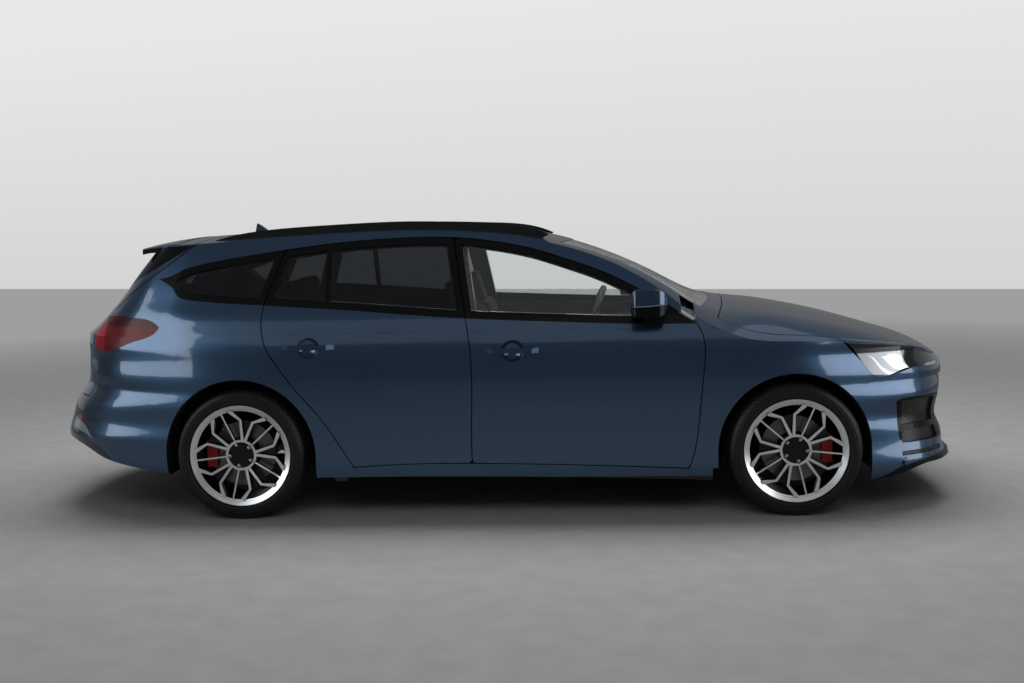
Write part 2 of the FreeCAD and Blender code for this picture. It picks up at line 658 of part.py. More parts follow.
# Roof, side frames and fixed glass
ROOF_DEPTH = 30.0
RAIL_Y = 560.0
RAIL_WIDTH = 26.0
UNDER_ROOF = body_form(ROOF_DEPTH)

windscreen_face = plan_face(windscreen_top_shares, [(0.585, 0.632), (0.838, 0.770)],
                            windscreen_foot_shares[::-1], [(0.838, -0.770), (0.585, -0.632)])
windscreen = GLASS_FACE.common(plan_prism(grown(windscreen_face, -SEAT_GAP))).cut(UNDER_GLASS)
roof_face = plan_face([(-0.520, -0.614), (-0.520, 0.614)], [(-0.520, 0.614), (0.540, 0.614)],
                      [(0.540, 0.614), (0.585, 0.632)], windscreen_top_shares[::-1],
                      [(0.585, -0.632), (0.540, -0.614)], [(0.540, -0.614), (-0.520, -0.614)])
tailgate_points = [V(station(u), -HALF_WIDTH - OVERRUN, height(h)) for u, h in tailgate_edge_shares]
behind = station(-1) - OVERRUN


def behind_edge(points, width):
    """Space behind a side-view broken line, through the whole car."""
    low = V(behind, points[0].y, points[-1].z)
    high = V(behind, points[0].y, points[0].z)
    face = Part.Face(Part.makePolygon(points + [low, high, points[0]]))
    return face.extrude(V(0, width, 0))


TAILGATE_HALF = 640.0
TAILGATE_FOOT_SHARE = 0.412
TAILGATE_DEPTH = 60.0
UNDER_TAILGATE = body_form(TAILGATE_DEPTH)
upper_gate_space = behind_edge(tailgate_points, 2 * (HALF_WIDTH + OVERRUN))
lower_gate_space = block(behind, station(-0.620), -TAILGATE_HALF, TAILGATE_HALF, height(TAILGATE_FOOT_SHARE),
                         height(tailgate_edge_shares[-1][1]) + OVERRUN)
gate_space = upper_gate_space.fuse(lower_gate_space)
UPPER_SHIFT = V(SHUT_GAP, 0, -SHUT_GAP / 2)
gate_clearance = gate_space.fuse(gate_space.translated(UPPER_SHIFT))
gate_clearance = gate_clearance.fuse(lower_gate_space.translated(V(0, SHUT_GAP, -SHUT_GAP)))
gate_clearance = gate_clearance.fuse(lower_gate_space.translated(V(0, -SHUT_GAP, -SHUT_GAP)))
HINGE_Y = 420.0
HINGE_WIDTH = 40.0
roof_shell = FORM.common(plan_prism(roof_face)).cut(UNDER_ROOF)
roof_panel = roof_shell.cut(gate_clearance)
for side in (-1, 1):
    leaf = block(-LENGTH, 0, side * HINGE_Y - HINGE_WIDTH / 2, side * HINGE_Y + HINGE_WIDTH / 2, 0, LENGTH)
    leaf = leaf.cut(gate_space.translated(V(SEAT_GAP, 0, -SEAT_GAP / 2)))
    roof_panel = roof_panel.fuse(roof_shell.common(leaf))
roof_panel = largest(roof_panel)

bonnet_plan = plan_face(bonnet_side_shares, bonnet_nose_shares,
                        [(b[0], -b[1]) for b in bonnet_side_shares[::-1]],
                        bonnet_rear_shares[::-1])
centre_space = plan_prism(roof_face.fuse(windscreen_face).removeSplitter().Faces[0])

# Side frames: sills, pillars, cant rails and quarter panels
far_side = -HALF_WIDTH - OVERRUN
FENDER_FOOT_SHARE = 0.165
JACK_PAD_STATIONS = (0.750, 0.179)
JACK_PAD_Y = -800.0
JACK_PAD_LENGTH = 60.0
JACK_PAD_WIDTH = 40.0
JACK_PAD_Z = 175.0
POCKET_INNER_Y = 605.0
frame_prism = right_prism(side_face(
    [(-0.213, 1.060), (-0.700, 0.722)], [(-0.700, 0.722), (-0.700, 0.581)], rear_bumper_edge_shares[:2],
    rear_bumper_edge_shares[1:],
    [(-0.200, 0.350), sill_foot_shares[0]], sill_foot_shares, [sill_foot_shares[-1], (0.853, 1.060)],
    [(0.853, 1.060), (-0.213, 1.060)]))
door_pockets = right_prism(grown(DOORWAY, SHUT_GAP / 2)).common(
    block(-LENGTH, LENGTH, far_side, -POCKET_INNER_Y, 0, BODY_HEIGHT))
side_openings = [right_prism(grown(FRONT_DOOR, -FLANGE)), right_prism(grown(REAR_DOOR, -FLANGE)),
                 right_prism(quarter_opening), front_arch, rear_arch]
for opening in side_openings:
    frame_prism = frame_prism.cut(opening)
side_wall = FORM.common(frame_prism).cut(CABIN_VOID).cut(centre_space).cut(gate_clearance)
side_wall = side_wall.cut(block(-LENGTH, station(-0.300), -TAILGATE_HALF, 0, 0, height(0.720)))
side_wall = side_wall.cut(door_pockets.cut(PILLAR_FACE))
behind_fender = block(station(0.800), station(0.853) + OVERRUN, far_side, 0, height(FENDER_FOOT_SHARE),
                      BODY_HEIGHT)
side_wall = side_wall.cut(behind_fender.cut(PILLAR_FACE).cut(door_pockets))
tail_lamp_prism = right_prism(TAIL_LAMP)
TAIL_LAMP_DEPTH = 48.0
UNDER_TAIL_LAMP = body_form(TAIL_LAMP_DEPTH)
side_wall = side_wall.cut(tail_lamp_prism.cut(UNDER_TAIL_LAMP))
for pad_station in JACK_PAD_STATIONS:
    pad_x = station(pad_station)
    pad = block(pad_x - JACK_PAD_LENGTH / 2, pad_x + JACK_PAD_LENGTH / 2, JACK_PAD_Y - JACK_PAD_WIDTH / 2,
                JACK_PAD_Y + JACK_PAD_WIDTH / 2, JACK_PAD_Z, height(FENDER_FOOT_SHARE))
    side_wall = side_wall.fuse(pad)
side_frame = largest(side_wall)

# Tail lamps
LAMP_GAP = 1.0
lamp_space = right_prism(grown(TAIL_LAMP, -LAMP_GAP)).cut(gate_clearance)
tail_lamp = FORM.common(lamp_space).cut(UNDER_TAIL_LAMP)

# Tailgate with its spoiler
REAR_WINDOW_FOOT_SHARE = 0.690
REAR_WINDOW_TOP_SHARE = 0.885
REAR_WINDOW_HALF = 530.0
SPOILER_STEP = 3.0
SPOILER_THICKNESS = 26.0
spoiler_tip_shares = [(-0.500, -0.640), (-0.523, -0.548), (-0.585, -0.300), (-0.613, 0.0), (-0.585, 0.300),
                      (-0.523, 0.548), (-0.500, 0.640)]
gate_block = FORM.common(gate_space.fuse(upper_gate_space)).cut(UNDER_TAILGATE)
gate_sides = block(-LENGTH, LENGTH, -TAILGATE_HALF + SHUT_GAP, TAILGATE_HALF - SHUT_GAP, 0,
                   height(tailgate_edge_shares[-1][1])).fuse(
    block(-LENGTH, LENGTH, far_side, HALF_WIDTH + OVERRUN, height(tailgate_edge_shares[-1][1]), LENGTH))
gate_block = gate_block.common(gate_sides)
rear_window_prism = block(-LENGTH, station(-0.330), -REAR_WINDOW_HALF, REAR_WINDOW_HALF,
                          height(REAR_WINDOW_FOOT_SHARE), height(REAR_WINDOW_TOP_SHARE))
gate_panel = gate_block.cut(rear_window_prism)
rear_pane_prism = block(-LENGTH, station(-0.330), SEAT_GAP - REAR_WINDOW_HALF, REAR_WINDOW_HALF - SEAT_GAP,
                        height(REAR_WINDOW_FOOT_SHARE) + SEAT_GAP, height(REAR_WINDOW_TOP_SHARE) - SEAT_GAP)
rear_pane = GLASS_FACE.common(rear_pane_prism).cut(UNDER_GLASS)
spoiler_face = plan_face([(-0.330, -0.640), (-0.500, -0.640)], spoiler_tip_shares,
                         [(-0.500, 0.640), (-0.330, 0.640)],
                         [(-0.330, 0.640), (-0.330, -0.640)])
spoiler = TOP_PRISM.translated(V(0, 0, SPOILER_STEP)).common(plan_prism(spoiler_face))
spoiler = spoiler.cut(TOP_PRISM.translated(V(0, 0, SPOILER_STEP - SPOILER_THICKNESS)))
gate_panel = gate_panel.fuse(spoiler.cut(UNDER_TAILGATE))
gate_panel = largest(gate_panel)

# Bonnet
BONNET_DEPTH = 24.0
BONNET_LEAN_SHARE = 0.35
BONNET_EDGE_SHARE = 0.498
UNDER_BONNET = body_form(BONNET_DEPTH)
front_zone = block(station(1.700), LENGTH, far_side, -far_side, 0, LENGTH)


def swollen_bonnet(distance):
    """Bonnet outline space grown by a distance, with its leaning front edge."""
    plan = redrawn(grown(bonnet_plan, distance))
    straight = plan_prism(plan).cut(front_zone)
    leaning = plan.translated(V(-BONNET_LEAN_SHARE * height(BONNET_EDGE_SHARE), 0, 0)).extrude(
        V(BONNET_LEAN_SHARE * (BODY_HEIGHT + OVERRUN), 0, BODY_HEIGHT + OVERRUN)).common(front_zone)
    return straight.fuse(leaning)


bonnet_cutter = swollen_bonnet(SHUT_GAP / 2)
bonnet = FORM.common(swollen_bonnet(-SHUT_GAP / 2)).cut(UNDER_BONNET)
bonnet = largest(bonnet)

# Front fenders, headlamps and bumpers
HEADLAMP_DEPTH = 110.0
UNDER_HEADLAMP = body_form(HEADLAMP_DEPTH)
headlamp_prism = right_prism(HEADLAMP)
nose_limit = block(-LENGTH, LENGTH, far_side, -breadth(0.42), 0, LENGTH)
fender_face = side_face(
    front_door_front_shares, [(0.811, FENDER_FOOT_SHARE), (1.000, FENDER_FOOT_SHARE)],
    [(1.000, FENDER_FOOT_SHARE), (1.309, 0.403)], front_bumper_edge_shares,
    [(1.454, 0.457), (1.363, 0.510), (1.256, 0.580)], [(1.256, 0.580), (1.256, 0.900)],
    [(1.256, 0.900), (0.826, 0.900)],
    [(0.826, 0.900), (0.826, 0.651)])
fender_rear = right_prism(grown(FRONT_DOOR, SHUT_GAP / 2))
fender_prism = right_prism(fender_face)
top_edge_strip = right_prism(side_face([(1.256, 0.580), (1.256, 0.900)], [(1.256, 0.900), (1.800, 0.900)],
                                       [(1.800, 0.900), (1.800, 0.530)], [(1.800, 0.530), (1.765, 0.528)],
                                       headlamp_top_shares[:5][::-1]))
fender = FORM.common(fender_prism.fuse(top_edge_strip)).cut(UNDER_SKIN).cut(bonnet_cutter).cut(front_arch)
fender = fender.cut(fender_rear).cut(windscreen_face.extrude(V(0, 0, LENGTH)))
fender = fender.cut(headlamp_prism.common(nose_limit))
fender = largest(fender)
headlamp = FORM.common(right_prism(grown(HEADLAMP, -LAMP_GAP))).common(nose_limit).cut(UNDER_HEADLAMP)
headlamp = headlamp.cut(bonnet_cutter)
headlamp = largest(headlamp)

BUMPER_DEPTH = 26.0
UNDER_BUMPER = body_form(BUMPER_DEPTH)
bumper_face = side_face(
    [front_bumper_foot_shares[0], front_bumper_edge_shares[0]], front_bumper_edge_shares,
    [(1.454, 0.457), (1.520, 0.458)], [(1.520, 0.458), (2.100, 0.540)], [(2.100, 0.540), (2.100, 0.154)],
    front_bumper_foot_shares[::-1])
bumper_prism = right_prism(bumper_face)
bumper_prism = bumper_prism.fuse(mirrored(bumper_prism))
front_bumper = FORM.common(bumper_prism).cut(UNDER_BUMPER).cut(bonnet_cutter)
lamp_void = headlamp_prism.common(nose_limit)
front_bumper = front_bumper.cut(lamp_void).cut(mirrored(lamp_void))
front_bumper = front_bumper.cut(front_arch).cut(mirrored(front_arch))
nose_start = station(1.600)
GRILLE_FOOT = 250.0
GRILLE_TOP = 635.0
GRILLE_HALF = 520.0
CELL_INNER = 575.0
CELL_OUTER = 790.0
UPPER_CELL_FOOT = 418.0
UPPER_CELL_TOP = 535.0
LOWER_CELL_FOOT = 330.0
LOWER_CELL_TOP = 390.0
SLOT_FOOT = 268.0
SLOT_TOP = 290.0
SLOT_INNER = 545.0
inlet_spans = [(-GRILLE_HALF, GRILLE_HALF, GRILLE_FOOT, GRILLE_TOP)]
for side in (-1, 1):
    for inner, outer, foot, top in ((CELL_INNER, CELL_OUTER, UPPER_CELL_FOOT, UPPER_CELL_TOP),
                                    (CELL_INNER, CELL_OUTER, LOWER_CELL_FOOT, LOWER_CELL_TOP),
                                    (SLOT_INNER, HALF_WIDTH, SLOT_FOOT, SLOT_TOP)):
        inlet_spans.append((min(side * inner, side * outer), max(side * inner, side * outer), foot, top))
inlet_floor = body_form(BUMPER_DEPTH / 2)
meshes = []
for y0, y1, foot, top in inlet_spans:
    front_bumper = front_bumper.cut(block(nose_start, LENGTH, y0, y1, foot, top))
    room = block(nose_start + SEAT_GAP, LENGTH, y0 + SEAT_GAP, y1 - SEAT_GAP, foot + SEAT_GAP,
                 top - SEAT_GAP)
    meshes += inlet_floor.common(room).cut(UNDER_BUMPER).Solids
front_bumper = largest(front_bumper)
grille = Part.Compound(meshes)
SPLITTER_REACH = 10.0
SPLITTER_TOP = 246.0
SPLITTER_HEIGHT = 24.0
splitter = body_form(-SPLITTER_REACH).common(block(nose_start + SPLITTER_REACH, LENGTH, far_side, -far_side,
                                                   SPLITTER_TOP - SPLITTER_HEIGHT, SPLITTER_TOP))
front_bumper = front_bumper.fuse(splitter.cut(UNDER_BUMPER).cut(front_arch).cut(mirrored(front_arch)))
front_bumper = largest(front_bumper)

rear_bumper_face = side_face(
    rear_bumper_edge_shares[1:], [(-0.200, 0.350), rear_bumper_foot_shares[0]], rear_bumper_foot_shares,
    [rear_bumper_foot_shares[-1], (-1.100, 0.581)], [(-1.100, 0.581), (-0.599, 0.581)])
rear_prism = right_prism(grown(rear_bumper_face, -SEAT_GAP)).cut(tail_lamp_prism)
rear_prism = rear_prism.fuse(mirrored(rear_prism))
rear_bumper = FORM.common(rear_prism).cut(UNDER_BUMPER).cut(gate_clearance)
rear_bumper = rear_bumper.cut(rear_arch).cut(mirrored(rear_arch))
rear_bumper = largest(rear_bumper)

# Cowl under the windscreen foot
COWL_DROP = 30.0
COWL_WALL = 14.0
cowl_top = body_form(COWL_DROP)
cowl_bottom = body_form(COWL_DROP + COWL_WALL)
cowl_face = plan_face(windscreen_foot_shares, [(0.838, 0.770), (0.905, 0.800)],
                      [(0.905, 0.800), (0.930, 0.400), (0.938, 0.0), (0.930, -0.400), (0.905, -0.800)],
                      [(0.905, -0.800), (0.838, -0.770)])
cowl = cowl_top.common(plan_prism(grown(cowl_face, -SEAT_GAP))).cut(cowl_bottom)

# Underbody
FLOOR_Z = 200.0
FLOOR_THICKNESS = 24.0
LOAD_FLOOR_Z = 430.0
HEEL_X_SHARE = 0.120
TUNNEL_HALF = 130.0
TUNNEL_HEIGHT = 150.0
FLOOR_HALF = 790.0
FIREWALL_STATION_SHARE = 0.872
FIREWALL_THICKNESS = 22.0
heel_x = station(HEEL_X_SHARE)
firewall_x = station(FIREWALL_STATION_SHARE)
floor = block(heel_x, firewall_x, -FLOOR_HALF, FLOOR_HALF, FLOOR_Z, FLOOR_Z + FLOOR_THICKNESS)
tunnel = block(heel_x, firewall_x, -TUNNEL_HALF, TUNNEL_HALF, FLOOR_Z, FLOOR_Z + TUNNEL_HEIGHT)
tunnel_void = block(heel_x - 2 * FLOOR_THICKNESS, firewall_x, FLOOR_THICKNESS - TUNNEL_HALF,
                    TUNNEL_HALF - FLOOR_THICKNESS,
                    FLOOR_Z, FLOOR_Z + TUNNEL_HEIGHT - FLOOR_THICKNESS)
heel = block(heel_x - FLOOR_THICKNESS, heel_x, -FLOOR_HALF, FLOOR_HALF, FLOOR_Z,
             LOAD_FLOOR_Z + FLOOR_THICKNESS)
load_floor = block(station(-0.880), heel_x, -FLOOR_HALF, FLOOR_HALF, LOAD_FLOOR_Z,
                   LOAD_FLOOR_Z + FLOOR_THICKNESS)
floor_pan = floor.fuse(tunnel).fuse(heel).fuse(load_floor).cut(tunnel_void)
floor_pan = floor_pan.common(UNDER_BUMPER)
wheel_spaces = [front_arch, rear_arch, mirrored(front_arch), mirrored(rear_arch)]
floor_pan = floor_pan.cut(wheel_spaces)
wheelhouse = arch_space(REAR_AXLE_X, REAR_ARCH_RADIUS + FLOOR_THICKNESS, REAR_WELL_Y + FLOOR_THICKNESS)
wheelhouse = wheelhouse.cut(rear_arch).common(PILLAR_FACE).common(
    block(-LENGTH, LENGTH, far_side, 0, LOAD_FLOOR_Z, BODY_HEIGHT))
floor_pan = floor_pan.fuse(wheelhouse).fuse(mirrored(wheelhouse)).common(CABIN_VOID)
floor_pan = largest(floor_pan)

RAIL_HALF_GAP = 400.0
FRONT_RAIL_WIDTH = 64.0
FRONT_RAIL_HEIGHT = 100.0
FRONT_RAIL_Z = 400.0
RADIATOR_STATION_SHARE = 1.800
RADIATOR_THICKNESS = 50.0
firewall_roof = body_form(COWL_DROP + COWL_WALL + SEAT_GAP)
firewall = block(firewall_x + SEAT_GAP, firewall_x + FIREWALL_THICKNESS, -FLOOR_HALF, FLOOR_HALF, FLOOR_Z,
                 BODY_HEIGHT).common(PILLAR_FACE).common(firewall_roof)
front_structure = firewall
radiator_x = station(RADIATOR_STATION_SHARE)
for side in (-1, 1):
    y0, y1 = sorted((side * RAIL_HALF_GAP, side * (RAIL_HALF_GAP + FRONT_RAIL_WIDTH)))
    front_rail = block(firewall_x + SEAT_GAP, radiator_x, y0, y1, FRONT_RAIL_Z,
                       FRONT_RAIL_Z + FRONT_RAIL_HEIGHT)
    front_structure = front_structure.fuse(front_rail)
RADIATOR_HALF = 470.0
RADIATOR_FOOT = 230.0
RADIATOR_TOP = 640.0
front_structure = front_structure.fuse(block(radiator_x - RADIATOR_THICKNESS, radiator_x, -RADIATOR_HALF,
                                             RADIATOR_HALF, RADIATOR_FOOT, RADIATOR_TOP))

front_structure = front_structure.cut(wheel_spaces)

# Engine and gearbox as one block
ENGINE_LENGTH = 420.0
ENGINE_WIDTH = 760.0
ENGINE_HEIGHT = 470.0
ENGINE_FOOT = 250.0
ENGINE_LEAD = 30.0
engine = block(FRONT_AXLE_X - ENGINE_LENGTH / 2 + ENGINE_LEAD,
               FRONT_AXLE_X + ENGINE_LENGTH / 2 + ENGINE_LEAD,
               SEAT_GAP - RAIL_HALF_GAP, RAIL_HALF_GAP - SEAT_GAP, ENGINE_FOOT, ENGINE_FOOT + ENGINE_HEIGHT)

# Knuckles, arms and axles
KINGPIN_Y = -748.0
KINGPIN_FOOT_Z = 205.0
TOWER_Y = -600.0
TOWER_Z = 800.0
KINGPIN_SETBACK = 16.0
KNUCKLE_RADIUS = 62.0
KNUCKLE_GAP = 4.0
STRUT_RADIUS = 25.0
STRUT_FOOT_Y = -622.0
STRUT_FOOT_Z = 400.0
STRUT_CLEARANCE = 12.0
STRUT_HOLE_SHARE = 0.6
SPRING_FOOT_SHARE = 0.77
SPRING_TOP_SHARE = 0.93
SPRING_RADIUS = 62.0
CALIPER_HEIGHT = 130.0
CALIPER_DEPTH = 62.0
wheel_face_out = RIM_WIDTH / 2 - RIM_FACE_INSET
bell_inner = DISC_OFFSET - BRAKE_DISC_THICKNESS
hub_inner_y = -bell_inner + KNUCKLE_GAP
kingpin_foot = V(FRONT_AXLE_X, KINGPIN_Y, KINGPIN_FOOT_Z)
kingpin_top = V(FRONT_AXLE_X - KINGPIN_SETBACK, TOWER_Y, TOWER_Z)
bearing = across(KNUCKLE_RADIUS, hub_inner_y, hub_inner_y + STUB_LENGTH, 0, 0)
bearing_bore = across(STUB_RADIUS + BEARING_CLEARANCE, hub_inner_y - OVERRUN,
                      hub_inner_y + STUB_LENGTH + OVERRUN,
                      0, 0)


def caliper(offset_x):
    """Brake caliper astride the disc, ahead of or behind the hub."""
    reach = BRAKE_DISC_RADIUS - CALIPER_DEPTH / 2
    body = block(reach, BRAKE_DISC_RADIUS + CALIPER_DEPTH / 3, -DISC_OFFSET - CALIPER_DEPTH / 3,
                 CALIPER_DEPTH / 2 - bell_inner, -CALIPER_HEIGHT / 2, CALIPER_HEIGHT / 2)
    slot = block(0, BRAKE_DISC_RADIUS + KNUCKLE_GAP, -DISC_OFFSET - KNUCKLE_GAP, KNUCKLE_GAP - bell_inner,
                 -CALIPER_HEIGHT, CALIPER_HEIGHT)
    bracket = block(0, reach + CALIPER_DEPTH / 2, hub_inner_y, hub_inner_y + CALIPER_DEPTH / 3,
                    -KNUCKLE_RADIUS / 2, KNUCKLE_RADIUS / 2)
    shape = body.cut(slot).fuse(bracket)
    return shape if offset_x > 0 else shape.mirror(V(0, 0, 0), V(1, 0, 0))


front_carrier = bearing.fuse(caliper(1)).cut(bearing_bore).translated(front_wheel_centre)
rear_carrier = bearing.fuse(caliper(-1)).cut(bearing_bore).translated(rear_wheel_centre)

# Front subframe with lower arms, and struts above the knuckles
ARM_RADIUS = 17.0
REAR_ARM_SETBACK = 208.0
BALL_RADIUS = 26.0
SUBFRAME_HALF = 330.0
SUBFRAME_LENGTH = 260.0
SUBFRAME_THICKNESS = 40.0
SUBFRAME_Z = 195.0
TOWER_RADIUS = 80.0
TOWER_THICKNESS = 12.0
subframe = block(FRONT_AXLE_X - SUBFRAME_LENGTH, FRONT_AXLE_X + SUBFRAME_LENGTH / 2, -SUBFRAME_HALF,
                 SUBFRAME_HALF,
                 SUBFRAME_Z, SUBFRAME_Z + SUBFRAME_THICKNESS)
arm_z = SUBFRAME_Z + SUBFRAME_THICKNESS / 2
ball_centre = V(FRONT_AXLE_X, KINGPIN_Y, arm_z - ARM_RADIUS)
arms = Part.makeCylinder(BALL_RADIUS, 2 * ARM_RADIUS, ball_centre - V(0, 0, ARM_RADIUS))
for arm_x in (FRONT_AXLE_X - REAR_ARM_SETBACK, FRONT_AXLE_X + ARM_RADIUS):
    arms = arms.fuse(tube([V(arm_x, -SUBFRAME_HALF, arm_z), ball_centre], ARM_RADIUS))
front_subframe = subframe.fuse([arms, mirrored(arms)])
tower = Part.makeCylinder(TOWER_RADIUS, TOWER_THICKNESS, V(kingpin_top.x, TOWER_Y, TOWER_Z), V(0, 0, 1))
tower_leg = block(kingpin_top.x - TOWER_RADIUS, kingpin_top.x + TOWER_RADIUS,
                  -RAIL_HALF_GAP - FRONT_RAIL_WIDTH,
                  -RAIL_HALF_GAP, FRONT_RAIL_Z, TOWER_Z + TOWER_THICKNESS)
tower_bridge = block(kingpin_top.x - TOWER_RADIUS, kingpin_top.x + TOWER_RADIUS, TOWER_Y,
                     -RAIL_HALF_GAP, TOWER_Z, TOWER_Z + TOWER_THICKNESS)
tower = tower.fuse(tower_leg).fuse(tower_bridge).common(UNDER_BONNET).cut(front_arch)
front_structure = front_structure.fuse(tower).fuse(mirrored(tower))

def on_kingpin(share):
    """Point on the steering axis, at a share of the way up."""
    return kingpin_foot + (kingpin_top - kingpin_foot) * share


strut_foot = V(FRONT_AXLE_X, STRUT_FOOT_Y, STRUT_FOOT_Z)
strut = tube([strut_foot, on_kingpin(SPRING_FOOT_SHARE)], STRUT_RADIUS)
spring = tube([on_kingpin(SPRING_FOOT_SHARE), on_kingpin(SPRING_TOP_SHARE)], SPRING_RADIUS)
strut_hole = tube([on_kingpin(STRUT_HOLE_SHARE), kingpin_top], SPRING_RADIUS + STRUT_CLEARANCE)
front_liner = front_liner.cut(strut_hole)
ROOT_SHARE = 0.7
upright_arm = tube([front_wheel_centre + V(0, hub_inner_y + STUB_LENGTH * ROOT_SHARE,
                                           KNUCKLE_RADIUS * ROOT_SHARE),
                    strut_foot], STRUT_RADIUS)
lower_arm = tube([front_wheel_centre + V(0, hub_inner_y + STUB_LENGTH * ROOT_SHARE,
                                         -KNUCKLE_RADIUS * ROOT_SHARE),
                  kingpin_foot + V(0, 0, ARM_RADIUS)], ARM_RADIUS)
bore_here = bearing_bore.translated(front_wheel_centre)
front_knuckle = front_carrier.fuse([upright_arm, lower_arm, strut, spring]).cut(bore_here)

# Rear axle: carriers, trailing arms and cross beam
BEAM_RADIUS = 36.0
BEAM_Z = 240.0
TRAILING_RADIUS = 29.0
TRAILING_Y = -560.0
beam = tube([V(REAR_AXLE_X, TRAILING_Y, BEAM_Z), V(REAR_AXLE_X, -TRAILING_Y, BEAM_Z)], BEAM_RADIUS)
trailing = tube([rear_wheel_centre + V(0, hub_inner_y + STUB_LENGTH, 0), V(REAR_AXLE_X, TRAILING_Y, BEAM_Z),
                 V(heel_x - FLOOR_THICKNESS - SEAT_GAP, TRAILING_Y, BEAM_Z)], TRAILING_RADIUS)
rear_half = rear_carrier.fuse(trailing).cut(bearing_bore.translated(rear_wheel_centre))
rear_axle = beam.fuse(rear_half).fuse(mirrored(rear_half))

# Exhaust
PIPE_RADIUS = 28.0
SILENCER_RADIUS = 90.0
SILENCER_LENGTH = 420.0
EXHAUST_Z = 255.0
exhaust = tube([V(FRONT_AXLE_X - ENGINE_LENGTH, 0, EXHAUST_Z), V(heel_x + OVERRUN, 0, EXHAUST_Z)],
               PIPE_RADIUS)
tail_box = block(station(-0.560), station(-0.560) + 2 * SILENCER_RADIUS, -SILENCER_LENGTH, SILENCER_LENGTH,
                 EXHAUST_Z + PIPE_RADIUS, EXHAUST_Z + PIPE_RADIUS + SILENCER_RADIUS)
tail_pipe = tube([V(heel_x + OVERRUN, 0, EXHAUST_Z), V(REAR_AXLE_X, OVERRUN, EXHAUST_Z + BEAM_RADIUS * 3),
                  V(station(-0.560) + SILENCER_RADIUS, OVERRUN, EXHAUST_Z + 2 * PIPE_RADIUS)], PIPE_RADIUS)
exhaust = exhaust.fuse([tail_pipe, tail_box]).cut(rear_axle)

# Roof rails and fin
rail_shares = [(-0.158, 0.951), (-0.036, 0.972), (0.061, 0.988), (0.174, 0.999), (0.303, 1.005),
               (0.431, 0.997),
               (0.516, 0.982), (0.566, 0.951)]
rail_top = side_face(rail_shares, [(0.566, 0.951), (0.516, 0.900)], [(0.516, 0.900), (-0.100, 0.900)],
                     [(-0.100, 0.900), (-0.158, 0.951)])
roof_rail = rail_top.translated(V(0, -RAIL_Y - RAIL_WIDTH / 2, 0)).extrude(V(0, RAIL_WIDTH, 0)).cut(FORM)
roof_rail = largest(roof_rail)
FIN_WIDTH = 34.0
fin = side_face([(-0.015, 0.960), (-0.060, 0.995), (-0.091, 1.0095)], [(-0.091, 1.0095), (-0.105, 0.960)],
                [(-0.105, 0.960), (-0.015, 0.960)])
fin = fin.translated(V(0, -FIN_WIDTH / 2, 0)).extrude(V(0, FIN_WIDTH, 0))
roof_panel = roof_panel.fuse(fin.cut(UNDER_ROOF))

# Mirrors
MIRROR_X = 682.0
MIRROR_LENGTH = 162.0
MIRROR_IN_Y = -852.0
MIRROR_OUT_Y = -989.0
MIRROR_FOOT_Z = 978.0
MIRROR_HEIGHT = 126.0
MIRROR_NOSE_RADIUS = 52.0
MIRROR_EDGE_RADIUS = 14.0
MIRROR_STALK = 46.0
MIRROR_SETBACK = 50.0
housing = block(MIRROR_X, MIRROR_X + MIRROR_LENGTH, MIRROR_OUT_Y, MIRROR_IN_Y, MIRROR_FOOT_Z,
                MIRROR_FOOT_Z + MIRROR_HEIGHT)
front_edges = [edge for edge in housing.Edges if edge.BoundBox.XMin > MIRROR_X + MIRROR_EDGE_RADIUS]
housing = housing.makeFillet(MIRROR_NOSE_RADIUS, front_edges)
rear_edges = [edge for edge in housing.Edges if edge.BoundBox.XMax < MIRROR_X + MIRROR_EDGE_RADIUS]
housing = housing.makeFillet(MIRROR_EDGE_RADIUS, rear_edges)
stalk = block(MIRROR_X + MIRROR_SETBACK, MIRROR_X + MIRROR_SETBACK + 2 * MIRROR_STALK,
              MIRROR_IN_Y - MIRROR_STALK,
              -HALF_WIDTH / 2, MIRROR_FOOT_Z - MIRROR_STALK, MIRROR_FOOT_Z + MIRROR_STALK / 2)
mirror = largest(housing.fuse(stalk).cut(FORM))

# Seats, dashboard and steering wheel
SEAT_WIDTH = 500.0
SEAT_Y = -360.0
CUSHION_LENGTH = 500.0
CUSHION_HEIGHT = 140.0
BACK_HEIGHT = 620.0
BACK_THICKNESS = 130.0
HEADREST_HEIGHT = 170.0
HEADREST_WIDTH = 260.0
SEAT_CORNER = 45.0
FRONT_SEAT_X = 60.0
FRONT_SEAT_Z = FLOOR_Z + FLOOR_THICKNESS + SEAT_GAP
SEAT_BASE_HEIGHT = 150.0
BACK_RAKE = 18.0


def padded(box, radius):
    """Box with the edges that run across the car rounded."""
    along = [edge for edge in box.Edges if edge.BoundBox.YLength > edge.BoundBox.DiagonalLength / 2]
    return box.makeFillet(radius, along)


